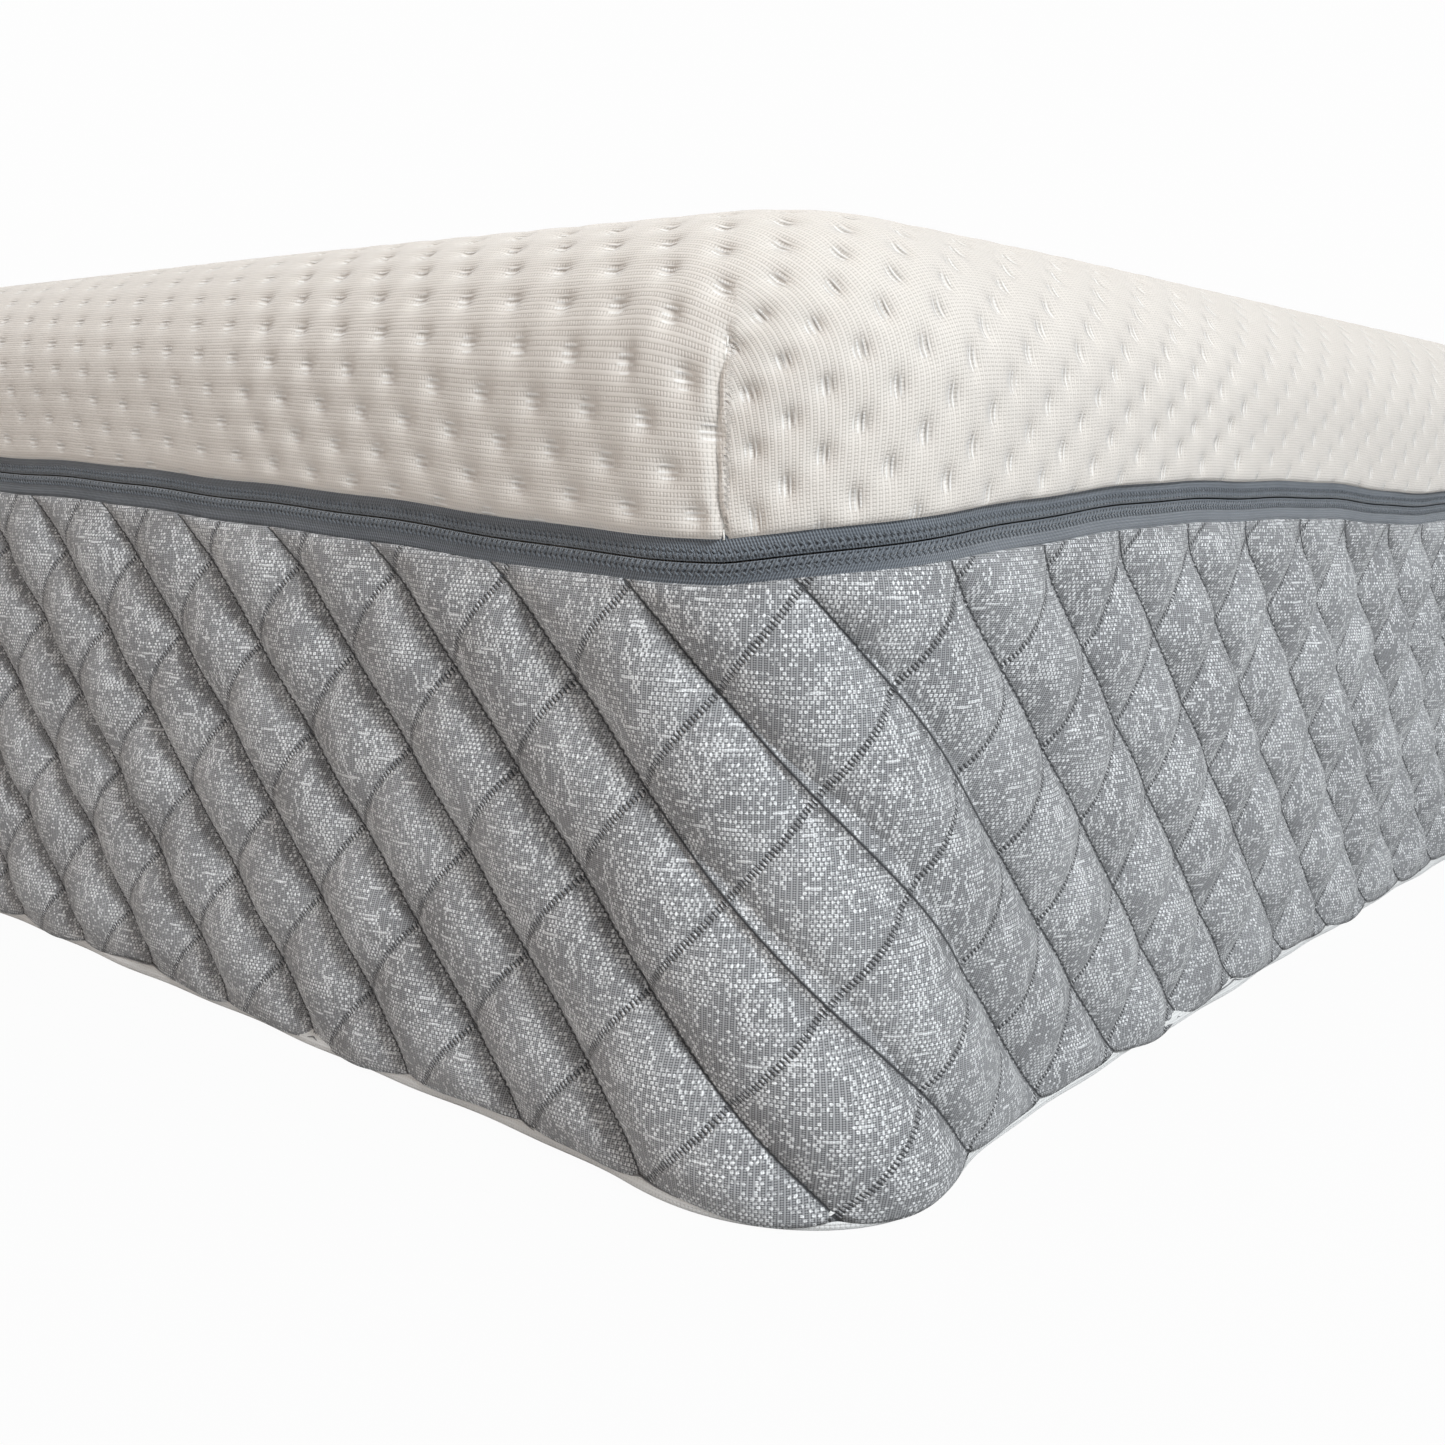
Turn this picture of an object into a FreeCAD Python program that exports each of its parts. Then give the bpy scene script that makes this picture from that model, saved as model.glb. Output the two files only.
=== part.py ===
import FreeCAD, Part
import os

# Memory foam mattress with a zip-off top cover, twin size, in millimetres.
# The origin is at the middle of the underside. X runs across the width, Y along the
# length towards the head end, and Z up. "Depth" is how far a surface is set in from the
# mattress's outer side wall, all the way round.

WIDTH = 965.0
LENGTH = 1905.0
HEIGHT = 254.0
CORNER_RADIUS = 62.0        # of the outer wall in plan
TOP_EDGE_RADIUS = 45.0      # where the side wall turns into the sleeping surface

ZIP_HEIGHT = 176.0          # middle of the slit between the two zipper tapes
FACE_THICKNESS = 2.0        # knitted cover cloth
HEM_DEPTH = 5.0             # a hem is the cloth turned in as far as the zipper tape
BORDER_BOTTOM = 5.0
BORDER_TOP = ZIP_HEIGHT - 4.5
BORDER_HEM_BOTTOM = 162.0
COVER_BOTTOM = ZIP_HEIGHT + 5.8
COVER_HEM_TOP = 190.0

SEAM_WIDTH = 1.6            # of the upright seam at each corner of the top cover
SEAM_SUNK = 1.1
SEAM_TURN = 20.0            # degrees round the corner from its middle, towards the end wall

BORDER_WADDING_THICKNESS = 7.4
BORDER_BACKING_THICKNESS = 0.6
COVER_WADDING_THICKNESS = 6.0
COVER_BACKING_THICKNESS = 0.6

PANEL_DEPTH = 0.8           # the bottom panel's own side wall
PANEL_THICKNESS = 2.0
PANEL_RIM_THICKNESS = 1.2
SEAM_THREAD_SIZE = 0.7

SOCK_DEPTH = 10.5
SOCK_THICKNESS = 1.5
SOCK_TOP = HEIGHT - 9.1     # half a millimetre under the cover's backing
SOCK_EDGE_RADIUS = 34.5
SOCK_CLOTH_THICKNESS = 0.8
CORE_TOP = 152.0
TRANSITION_TOP = 190.0

TAPE_THICKNESS = 0.8
TAPE_WIDTH = 12.8
TAPE_HALF_GAP = 0.7         # from the middle of the slit to the edge of either tape
COIL_WIDTH = 1.8
COIL_DEPTH = 2.0
STITCH_SIZE = 0.4

# The slider runs along the head end. It is stored where the two ends of the chain meet.
SLIDER_PARK_X = 405.0
SLIDER_LENGTH = 13.0
SLIDER_HALF_WIDTH = 4.3
SLIDER_CLEARANCE = 0.3
OUTER_PLATE_THICKNESS = 1.5
INNER_PLATE_THICKNESS = 1.2
POST_HALF_WIDTH = 0.4
POST_LENGTH = 3.0
COIL_GAP_BEFORE = 7.5       # the chain has no teeth from here on either side of the slider
COIL_GAP_AFTER = 12.0
STOP_LENGTH = 4.0

PIN_RADIUS = 0.6
PIN_DEPTH = 1.8
EYE_INNER_RADIUS = 0.66
EYE_OUTER_RADIUS = 1.25
LUG_INNER_HALF_WIDTH = 2.1
LUG_OUTER_HALF_WIDTH = 3.1
TAB_LENGTH = 24.0
TAB_THICKNESS = 1.0
TAB_NECK_HALF_WIDTH = 1.9
TAB_HALF_WIDTH = 2.9

HEAD_END = LENGTH / 2.0     # Y of the outer wall that the slider runs along


def save(node, shape):
    """Write one closed solid to its own STEP file."""
    solid = shape.removeSplitter()
    if len(solid.Solids) != 1 or not solid.isValid():
        raise ValueError(node + " has to be one valid solid")
    solid.Solids[0].exportStep("parts/" + node + ".step")
    print(node, round(solid.Volume / 1000.0, 2), "cm3")


def layer(depth, z_low, z_high):
    """A slab with the mattress's plan, its wall set in by depth."""
    half_x = WIDTH / 2.0 - depth
    half_y = LENGTH / 2.0 - depth
    radius = CORNER_RADIUS - depth
    slab = Part.makeBox(2.0 * half_x, 2.0 * half_y, z_high - z_low,
                        FreeCAD.Vector(-half_x, -half_y, z_low))
    upright = []
    for edge in slab.Edges:
        if edge.BoundBox.ZLength > (z_high - z_low) / 2.0:
            upright.append(edge)
    return slab.makeFillet(radius, upright)


def band(depth_outside, depth_inside, z_low, z_high):
    """A closed ring between two depths."""
    return layer(depth_outside, z_low, z_high).cut(layer(depth_inside, z_low, z_high))


def domed_layer(depth, z_low, z_high, edge_radius):
    """A slab whose top edge is rounded over."""
    slab = layer(depth, z_low, z_high)
    rim = []
    for edge in slab.Edges:
        if edge.BoundBox.ZMin > z_high - 0.01:
            rim.append(edge)
    return slab.makeFillet(edge_radius, rim)


def cap(depth, thickness, z_low, z_high, edge_radius):
    """An open-bottomed shell that covers the top and turns down over the sides."""
    outside = domed_layer(depth, z_low, z_high, edge_radius)
    inside = domed_layer(depth + thickness, z_low, z_high - thickness, edge_radius - thickness)
    return outside.cut(inside)


def head_block(x_low, x_high, depth_low, depth_high, z_low, z_high):
    """A block against the head end's wall, between two depths."""
    return Part.makeBox(x_high - x_low, depth_high - depth_low, z_high - z_low,
                        FreeCAD.Vector(x_low, HEAD_END - depth_high, z_low))


def either_side(low, high):
    """The two height spans at the same distances above and below the zipper's slit."""
    return [(ZIP_HEIGHT + low, ZIP_HEIGHT + high), (ZIP_HEIGHT - high, ZIP_HEIGHT - low)]


def make_foam():
    """Three foam layers, glued in a stack, with the memory foam on top."""
    depth = SOCK_DEPTH + SOCK_THICKNESS
    core_bottom = PANEL_THICKNESS + SOCK_CLOTH_THICKNESS
    save("support_foam_core", layer(depth, core_bottom, CORE_TOP))
    save("transition_foam_layer", layer(depth, CORE_TOP, TRANSITION_TOP))
    save("memory_foam_layer", domed_layer(depth, TRANSITION_TOP, SOCK_TOP - SOCK_THICKNESS,
                                          SOCK_EDGE_RADIUS - SOCK_THICKNESS))


def make_fire_barrier():
    """A knitted sock over the foam, closed underneath by a thin cloth."""
    save("fire_barrier_sock", cap(SOCK_DEPTH, SOCK_THICKNESS, PANEL_THICKNESS, SOCK_TOP,
                                  SOCK_EDGE_RADIUS))
    save("fire_barrier_base_cloth", layer(SOCK_DEPTH + SOCK_THICKNESS, PANEL_THICKNESS,
                                          PANEL_THICKNESS + SOCK_CLOTH_THICKNESS))


def make_border():
    """The quilted side band: face cloth with a hem at its top, wadding and backing."""
    face = band(0.0, FACE_THICKNESS, BORDER_BOTTOM, BORDER_TOP)
    hem = band(FACE_THICKNESS, HEM_DEPTH, BORDER_HEM_BOTTOM, BORDER_TOP)
    save("border_face_cloth", face.fuse(hem))
    wadding_back = FACE_THICKNESS + BORDER_WADDING_THICKNESS
    save("border_wadding", band(FACE_THICKNESS, wadding_back, PANEL_THICKNESS,
                                BORDER_HEM_BOTTOM))
    save("border_backing", band(wadding_back, wadding_back + BORDER_BACKING_THICKNESS,
                                PANEL_THICKNESS, BORDER_HEM_BOTTOM))


def make_bottom():
    """The underside panel turns up at its edge, where it is sewn to the border."""
    rim = band(PANEL_DEPTH, PANEL_DEPTH + PANEL_RIM_THICKNESS, 0.0, BORDER_BOTTOM)
    save("bottom_panel", layer(PANEL_DEPTH, 0.0, PANEL_THICKNESS).fuse(rim))
    save("bottom_seam_thread", band(PANEL_DEPTH - SEAM_THREAD_SIZE, PANEL_DEPTH,
                                    BORDER_BOTTOM - SEAM_THREAD_SIZE, BORDER_BOTTOM))


def corner_bar(side_x, side_y, thickness):
    """A bar down the outside of one corner, with its back sunk in the knit."""
    seam_top = HEIGHT - TOP_EDGE_RADIUS - 1.0
    centre_x = side_x * (WIDTH / 2.0 - CORNER_RADIUS)
    centre_y = side_y * (LENGTH / 2.0 - CORNER_RADIUS)
    bar = Part.makeBox(thickness, SEAM_WIDTH, seam_top - COVER_BOTTOM,
                       FreeCAD.Vector(CORNER_RADIUS - SEAM_SUNK, -SEAM_WIDTH / 2.0, 0.0))
    turn = 45.0 + SEAM_TURN
    if side_x * side_y < 0:
        turn = -turn
    if side_x < 0:
        turn = turn + 180.0
    bar.rotate(FreeCAD.Vector(0, 0, 0), FreeCAD.Vector(0, 0, 1), turn)
    bar.translate(FreeCAD.Vector(centre_x, centre_y, COVER_BOTTOM))
    return bar


def make_top_cover():
    """The zip-off cover: bubble knit, wadding and backing, with a seam at each corner."""
    knit = cap(0.0, FACE_THICKNESS, COVER_BOTTOM, HEIGHT, TOP_EDGE_RADIUS)
    knit = knit.fuse(band(FACE_THICKNESS, HEM_DEPTH, COVER_BOTTOM, COVER_HEM_TOP))
    corners = {"foot_right": (1, -1), "foot_left": (-1, -1),
               "head_right": (1, 1), "head_left": (-1, 1)}
    for name, (side_x, side_y) in corners.items():
        knit = knit.cut(corner_bar(side_x, side_y, SEAM_SUNK + 1.0))
        save("corner_seam_" + name, corner_bar(side_x, side_y, SEAM_THREAD_SIZE))
    save("top_cover_knit", knit)
    top = HEIGHT - FACE_THICKNESS
    radius = TOP_EDGE_RADIUS - FACE_THICKNESS
    save("top_cover_wadding", cap(FACE_THICKNESS, COVER_WADDING_THICKNESS, COVER_HEM_TOP,
                                  top, radius))
    save("top_cover_backing", cap(FACE_THICKNESS + COVER_WADDING_THICKNESS,
                                  COVER_BACKING_THICKNESS, COVER_HEM_TOP,
                                  top - COVER_WADDING_THICKNESS,
                                  radius - COVER_WADDING_THICKNESS))


def make_zipper():
    """Two tapes with a row of teeth each, as plain beads, and a stop at their ends."""
    tape_back = HEM_DEPTH + TAPE_THICKNESS
    tapes = either_side(TAPE_HALF_GAP, TAPE_HALF_GAP + TAPE_WIDTH)
    coils = either_side(TAPE_HALF_GAP, TAPE_HALF_GAP + COIL_WIDTH)
    seams = either_side(10.0, 10.0 + STITCH_SIZE)
    gap = head_block(SLIDER_PARK_X - COIL_GAP_BEFORE, SLIDER_PARK_X + COIL_GAP_AFTER,
                     HEM_DEPTH, SOCK_DEPTH, ZIP_HEIGHT - TAPE_WIDTH, ZIP_HEIGHT + TAPE_WIDTH)
    for i, name in enumerate(["upper", "lower"]):
        save("zipper_tape_" + name, band(HEM_DEPTH, tape_back, *tapes[i]))
        save("zipper_coil_" + name, band(tape_back, tape_back + COIL_DEPTH, *coils[i]).cut(gap))
        save("tape_stitching_" + name, band(tape_back, tape_back + STITCH_SIZE, *seams[i]))


def make_end_stops():
    """Bent clips over the tapes' edges, just past the stored slider."""
    start = SLIDER_PARK_X + SLIDER_LENGTH / 2.0 + 0.5
    outside = HEM_DEPTH - 0.8
    inside = HEM_DEPTH + TAPE_THICKNESS + 0.8
    clips = either_side(0.1, 3.4)
    slots = either_side(TAPE_HALF_GAP, TAPE_HALF_GAP + TAPE_WIDTH)
    for i, name in enumerate(["upper", "lower"]):
        clip = head_block(start, start + STOP_LENGTH, outside, inside, *clips[i])
        slot = head_block(start - 1.0, start + STOP_LENGTH + 1.0, HEM_DEPTH,
                          HEM_DEPTH + TAPE_THICKNESS, *slots[i])
        save("zipper_stop_" + name, clip.cut(slot))


def make_slider():
    """Two plates joined by a post. The inner one is folded towards the tapes."""
    front = SLIDER_PARK_X - SLIDER_LENGTH / 2.0
    back = SLIDER_PARK_X + SLIDER_LENGTH / 2.0
    tape_back = HEM_DEPTH + TAPE_THICKNESS
    outer_back = HEM_DEPTH - SLIDER_CLEARANCE
    inner_front = tape_back + COIL_DEPTH + SLIDER_CLEARANCE
    full = (ZIP_HEIGHT - SLIDER_HALF_WIDTH, ZIP_HEIGHT + SLIDER_HALF_WIDTH)
    outer = head_block(front, back, outer_back - OUTER_PLATE_THICKNESS, outer_back, *full)
    inner = head_block(front, back, inner_front, inner_front + INNER_PLATE_THICKNESS, *full)
    rounded = []
    for plate in (outer, inner):
        across = [e for e in plate.Edges if e.BoundBox.YLength > 1.0]
        rounded.append(plate.makeFillet(2.5, across))
    post = head_block(SLIDER_PARK_X - POST_LENGTH / 2.0, SLIDER_PARK_X + POST_LENGTH / 2.0,
                      outer_back - 0.2, inner_front + 0.2,
                      ZIP_HEIGHT - POST_HALF_WIDTH, ZIP_HEIGHT + POST_HALF_WIDTH)
    body = rounded[0].fuse(post).fuse(rounded[1])
    fold_start = TAPE_HALF_GAP + COIL_WIDTH + SLIDER_CLEARANCE
    for z_low, z_high in either_side(fold_start, SLIDER_HALF_WIDTH):
        body = body.fuse(head_block(front + 2.5, back - 2.5, tape_back + SLIDER_CLEARANCE,
                                    inner_front, z_low, z_high))
    save("slider_body", body)


def make_slider_bail():
    """Two lugs on the slider's outer plate with the pin that the pull tab turns on."""
    plate_front = HEM_DEPTH - SLIDER_CLEARANCE - OUTER_PLATE_THICKNESS
    bail = Part.makeCylinder(PIN_RADIUS, 2.0 * LUG_OUTER_HALF_WIDTH,
                             FreeCAD.Vector(SLIDER_PARK_X, HEAD_END - PIN_DEPTH,
                                            ZIP_HEIGHT - LUG_OUTER_HALF_WIDTH))
    for z_low, z_high in either_side(LUG_INNER_HALF_WIDTH, LUG_OUTER_HALF_WIDTH):
        lug = head_block(SLIDER_PARK_X - 2.0, SLIDER_PARK_X + 2.0, PIN_DEPTH - 1.1,
                         plate_front, z_low, z_high)
        bail = bail.fuse(lug)
    rail = head_block(SLIDER_PARK_X - 2.0, SLIDER_PARK_X + 2.0, plate_front - 0.1, plate_front,
                      ZIP_HEIGHT - LUG_OUTER_HALF_WIDTH, ZIP_HEIGHT + LUG_OUTER_HALF_WIDTH)
    save("slider_bail", bail.fuse(rail))


def make_pull_tab():
    """A flat tab with a rolled eye round the pin and a hole near its free end."""
    centre = FreeCAD.Vector(SLIDER_PARK_X, HEAD_END - PIN_DEPTH, ZIP_HEIGHT - TAB_NECK_HALF_WIDTH)
    tab_front = PIN_DEPTH - TAB_THICKNESS / 2.0
    tab_back = PIN_DEPTH + TAB_THICKNESS / 2.0
    neck = head_block(SLIDER_PARK_X - 8.0, SLIDER_PARK_X, tab_front, tab_back,
                      ZIP_HEIGHT - TAB_NECK_HALF_WIDTH, ZIP_HEIGHT + TAB_NECK_HALF_WIDTH)
    blade = head_block(SLIDER_PARK_X - TAB_LENGTH, SLIDER_PARK_X - 6.0, tab_front, tab_back,
                       ZIP_HEIGHT - TAB_HALF_WIDTH, ZIP_HEIGHT + TAB_HALF_WIDTH)
    corners = [e for e in blade.Edges if e.BoundBox.YLength > TAB_THICKNESS / 2.0]
    blade = blade.makeFillet(1.4, corners)
    hole = Part.makeCylinder(1.3, 2.0 * TAB_THICKNESS,
                             FreeCAD.Vector(SLIDER_PARK_X - TAB_LENGTH + 4.0,
                                            HEAD_END - PIN_DEPTH - TAB_THICKNESS, ZIP_HEIGHT),
                             FreeCAD.Vector(0, 1, 0))
    eye = Part.makeCylinder(EYE_OUTER_RADIUS, 2.0 * TAB_NECK_HALF_WIDTH, centre)
    bore = Part.makeCylinder(EYE_INNER_RADIUS, 2.0 * TAB_NECK_HALF_WIDTH, centre)
    save("pull_tab", neck.fuse(blade).fuse(eye).cut(bore).cut(hole))


os.makedirs("parts", exist_ok=True)
make_foam()
make_fire_barrier()
make_border()
make_bottom()
make_top_cover()
make_zipper()
make_end_stops()
make_slider()
make_slider_bail()
make_pull_tab()
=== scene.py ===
import math
import bpy
import numpy as np
from mathutils import Matrix, Vector


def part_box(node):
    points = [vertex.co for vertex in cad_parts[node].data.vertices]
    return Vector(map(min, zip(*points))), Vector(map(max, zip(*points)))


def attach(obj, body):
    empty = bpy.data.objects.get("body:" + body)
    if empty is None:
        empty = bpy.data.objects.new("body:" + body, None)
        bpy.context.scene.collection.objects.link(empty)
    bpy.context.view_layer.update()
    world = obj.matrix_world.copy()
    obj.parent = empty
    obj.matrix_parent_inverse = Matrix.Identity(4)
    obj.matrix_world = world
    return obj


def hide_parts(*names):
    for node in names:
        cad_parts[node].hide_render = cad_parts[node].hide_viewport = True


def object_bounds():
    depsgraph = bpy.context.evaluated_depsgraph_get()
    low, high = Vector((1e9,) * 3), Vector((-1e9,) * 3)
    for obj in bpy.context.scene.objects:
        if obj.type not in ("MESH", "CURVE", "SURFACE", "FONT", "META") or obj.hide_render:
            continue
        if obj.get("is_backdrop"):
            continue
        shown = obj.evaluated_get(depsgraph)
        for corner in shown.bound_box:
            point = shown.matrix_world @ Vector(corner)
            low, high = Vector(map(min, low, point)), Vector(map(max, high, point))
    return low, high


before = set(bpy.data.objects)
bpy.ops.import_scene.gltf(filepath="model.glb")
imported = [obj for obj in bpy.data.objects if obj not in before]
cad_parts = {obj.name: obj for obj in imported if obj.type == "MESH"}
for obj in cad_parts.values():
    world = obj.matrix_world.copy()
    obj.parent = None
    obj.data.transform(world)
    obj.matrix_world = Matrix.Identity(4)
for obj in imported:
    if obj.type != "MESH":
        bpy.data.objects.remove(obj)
cad_low, cad_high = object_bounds()


# Camera and studio.
# A wide lens stands close to the foot-right corner, level with the cover, and looks a
# little down. White surroundings and a pale floor, with a cool light on the long side, a
# warm one on the foot end, and two neutral ones above.

corner = Vector((cad_high.x, cad_low.y, 0.0))

camera = bpy.data.objects.new("camera", bpy.data.cameras.new("camera"))
bpy.context.scene.collection.objects.link(camera)
bpy.context.scene.camera = camera
camera.data.lens = 39.0
camera.data.sensor_width = 36.0
camera.data.clip_start = 0.02
camera.location = corner + Vector((0.2061, -0.2824, 0.1906))
heading = Matrix.Rotation(math.radians(39.86), 3, "Z")
tilt = Matrix.Rotation(math.radians(80.37), 3, "X")
roll = Matrix.Rotation(math.radians(1.23), 3, "Z")
camera.rotation_euler = (heading @ tilt @ roll).to_euler()


def soft_light(name, place, aim, size, power, colour):
    lamp = bpy.data.objects.new(name, bpy.data.lights.new(name, "AREA"))
    lamp.data.shape = "DISK"
    lamp.data.size = size
    lamp.data.energy = power
    lamp.data.color = colour
    lamp.location = place
    lamp.rotation_euler = (Vector(aim) - Vector(place)).to_track_quat("-Z", "Y").to_euler()
    bpy.context.scene.collection.objects.link(lamp)


wall_middle = corner + Vector((0.0, 0.0, 0.12))
soft_light("key_light", place=corner + Vector((1.95, -0.50, 1.80)), aim=wall_middle,
           size=0.7, power=72.0, colour=(0.93, 0.97, 1.0))
soft_light("warm_fill", place=corner + Vector((-1.6, -2.4, 0.9)), aim=wall_middle,
           size=2.0, power=20.0, colour=(1.0, 0.81, 0.67))
soft_light("top_light", place=corner + Vector((-0.3, 0.6, 2.4)), aim=corner + Vector((-0.3, 0.6, 0.0)),
           size=1.6, power=21.0, colour=(1.0, 1.0, 0.97))
soft_light("far_light", place=Vector((-2.5, 2.5, 3.0)), aim=Vector((0.0, 0.0, 0.1)),
           size=2.5, power=75.0, colour=(1.0, 1.0, 1.0))

world = bpy.data.worlds.new("studio_white")
bpy.context.scene.world = world
world.use_nodes = True
sky = world.node_tree.nodes["Background"]
seen_white = world.node_tree.nodes.new("ShaderNodeBackground")
either = world.node_tree.nodes.new("ShaderNodeMixShader")
ray = world.node_tree.nodes.new("ShaderNodeLightPath")
sky.inputs["Color"].default_value = (0.98, 0.99, 1.0, 1.0)
sky.inputs["Strength"].default_value = 0.23
seen_white.inputs["Color"].default_value = (0.985, 0.985, 0.985, 1.0)
world.node_tree.links.new(ray.outputs["Is Camera Ray"], either.inputs[0])
world.node_tree.links.new(sky.outputs[0], either.inputs[1])
world.node_tree.links.new(seen_white.outputs[0], either.inputs[2])
world.node_tree.links.new(either.outputs[0], world.node_tree.nodes["World Output"].inputs[0])
bpy.context.scene.view_settings.view_transform = "Standard"

floor_mesh = bpy.data.meshes.new("floor")
floor_mesh.from_pydata([(-60, -60, 0), (60, -60, 0), (60, 60, 0), (-60, 60, 0)], [], [(0, 1, 2, 3)])
floor = bpy.data.objects.new("floor", floor_mesh)
bpy.context.scene.collection.objects.link(floor)
floor_paint = bpy.data.materials.new("pale_floor")
floor_paint.use_nodes = True
floor_nodes = floor_paint.node_tree.nodes
floor_nodes["Principled BSDF"].inputs["Base Color"].default_value = (0.58, 0.58, 0.58, 1.0)
floor_nodes["Principled BSDF"].inputs["Roughness"].default_value = 0.9
glow = floor_nodes.new("ShaderNodeEmission")
glow.inputs["Color"].default_value = (0.985, 0.985, 0.985, 1.0)
floor_ray = floor_nodes.new("ShaderNodeLightPath")
seen_share = floor_nodes.new("ShaderNodeMath")
seen_share.operation = "MULTIPLY"
seen_share.inputs[1].default_value = 0.975
floor_mix = floor_nodes.new("ShaderNodeMixShader")
floor_paint.node_tree.links.new(floor_ray.outputs["Is Camera Ray"], seen_share.inputs[0])
floor_paint.node_tree.links.new(seen_share.outputs[0], floor_mix.inputs[0])
floor_paint.node_tree.links.new(floor_nodes["Principled BSDF"].outputs[0], floor_mix.inputs[1])
floor_paint.node_tree.links.new(glow.outputs[0], floor_mix.inputs[2])
floor_paint.node_tree.links.new(floor_mix.outputs[0], floor_nodes["Material Output"].inputs[0])
floor_mesh.materials.append(floor_paint)
floor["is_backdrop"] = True


# Foam core.
# Three slabs of open-cell polyurethane foam, cut square with rounded corners and glued in
# a stack: firm support foam, a softer transition layer, and memory foam on top.


class Wiring:
    """Adds nodes to one tree, so that a pattern reads as a few calls."""

    def __init__(self, tree):
        self.tree = tree

    def put(self, socket, value):
        if isinstance(value, bpy.types.NodeSocket):
            self.tree.links.new(value, socket)
        elif value is not None:
            socket.default_value = value

    def add(self, kind, *values, **settings):
        node = self.tree.nodes.new(kind)
        for name, value in settings.items():
            setattr(node, name, value)
        for socket, value in zip(node.inputs, values):
            self.put(socket, value)
        return node

    def calc(self, operation, *values):
        return self.add("ShaderNodeMath", *values, operation=operation).outputs[0]

    def between(self, value, low, high):
        """0 at low, 1 at high, and smooth between."""
        node = self.add("ShaderNodeMapRange", value, low, high, 0.0, 1.0,
                        interpolation_type="SMOOTHSTEP")
        return node.outputs[0]

    def noise(self, coordinates, size, detail=2.0):
        """Soft random values from 0 to 1, with lumps of about that size in metres."""
        node = self.add("ShaderNodeTexNoise", coordinates)
        node.inputs["Scale"].default_value = 1.0 / size
        node.inputs["Detail"].default_value = detail
        return node.outputs[0]

    def blend(self, share, first, second):
        """A colour between two: the first at share 0, the second at share 1."""
        node = self.tree.nodes.new("ShaderNodeMix")
        node.data_type = "RGBA"
        self.put(node.inputs[0], share)
        self.put(node.inputs[6], first)
        self.put(node.inputs[7], second)
        return node.outputs[2]

    def use(self, group, *values):
        node = self.tree.nodes.new("ShaderNodeGroup")
        node.node_tree = group
        for socket, value in zip(node.inputs, values):
            self.put(socket, value)
        return node


def open_group(name, inputs, outputs):
    """An empty shader group with its wiring, its inputs by name and its output node."""
    tree = bpy.data.node_groups.new(name, "ShaderNodeTree")
    for label, kind in inputs.items():
        tree.interface.new_socket(label, in_out="INPUT", socket_type="NodeSocket" + kind)
    for label, kind in outputs.items():
        tree.interface.new_socket(label, in_out="OUTPUT", socket_type="NodeSocket" + kind)
    enter = tree.nodes.new("NodeGroupInput")
    leave = tree.nodes.new("NodeGroupOutput")
    return tree, Wiring(tree), enter.outputs, leave.inputs


def open_material(name, roughness, **constants):
    """A material with an empty Principled shader, its wiring and the shader's inputs."""
    finish = bpy.data.materials.new(name)
    finish.use_nodes = True
    shader = finish.node_tree.nodes["Principled BSDF"]
    shader.inputs["Roughness"].default_value = roughness
    for label, value in constants.items():
        shader.inputs[label.replace("_", " ")].default_value = value
    return finish, Wiring(finish.node_tree), shader.inputs


def raise_relief(wiring, inputs, height, distance):
    """Feeds a height from 0 to 1 to the shader's normal, as a relief of distance metres."""
    bump = wiring.tree.nodes.new("ShaderNodeBump")
    bump.inputs["Strength"].default_value = 1.0
    bump.inputs["Distance"].default_value = distance
    wiring.put(bump.inputs["Height"], height)
    wiring.put(inputs["Normal"], bump.outputs[0])


def colour(red, green, blue):
    return (red, green, blue, 1.0)


mottle, m, given, made = open_group(
    "cloth_mottle", {"Coordinates": "Vector", "Size": "Float", "Dark": "Color", "Light": "Color"},
    {"Color": "Color"})
patches = m.add("ShaderNodeTexNoise", given["Coordinates"])
patches.inputs["Detail"].default_value = 3.0
m.put(patches.inputs["Scale"], m.calc("DIVIDE", 1.0, given["Size"]))
m.put(made["Color"], m.blend(m.between(patches.outputs[0], 0.3, 0.7), given["Dark"], given["Light"]))


def foam_finish(name, dark, light):
    """Cut foam: fine open cells with a few larger ones."""
    finish, w, inputs = open_material(name, 0.95)
    place = w.add("ShaderNodeTexCoord").outputs["Object"]
    w.put(inputs["Base Color"], w.use(mottle, place, 0.05, dark, light).outputs["Color"])
    cells = w.add("ShaderNodeTexVoronoi", place)
    cells.inputs["Scale"].default_value = 900.0
    pores = w.calc("ADD", cells.outputs["Distance"], w.noise(place, 0.004))
    raise_relief(w, inputs, pores, 0.0006)
    return finish


plan_radius = 0.062
half_x = cad_high.x
half_y = cad_high.y
arc_centre_x = half_x - plan_radius
arc_centre_y = half_y - plan_radius
eighth = plan_radius * math.pi / 4.0
around = 8.0 * eighth + 4.0 * (arc_centre_x + arc_centre_y)

# Stretches of the outer wall, seen from above and walked anticlockwise from the middle of
# the head-left corner: how far along each starts, its arc centre and its outward direction.
long_run, short_run = 2.0 * arc_centre_y, 2.0 * arc_centre_x
stretches = np.cumsum([0, eighth, long_run, 2 * eighth, short_run, 2 * eighth, long_run,
                       2 * eighth, short_run, eighth]) - around / 2.0
turns = np.radians([135, 180, 180, 270, 270, 360, 360, 450, 450, 495])
centre_xs = np.array([-1, -1, -1, -1, 1, 1, 1, 1, -1, -1]) * arc_centre_x
centre_ys = np.array([1, 1, -1, -1, -1, -1, 1, 1, 1, 1]) * arc_centre_y


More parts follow.
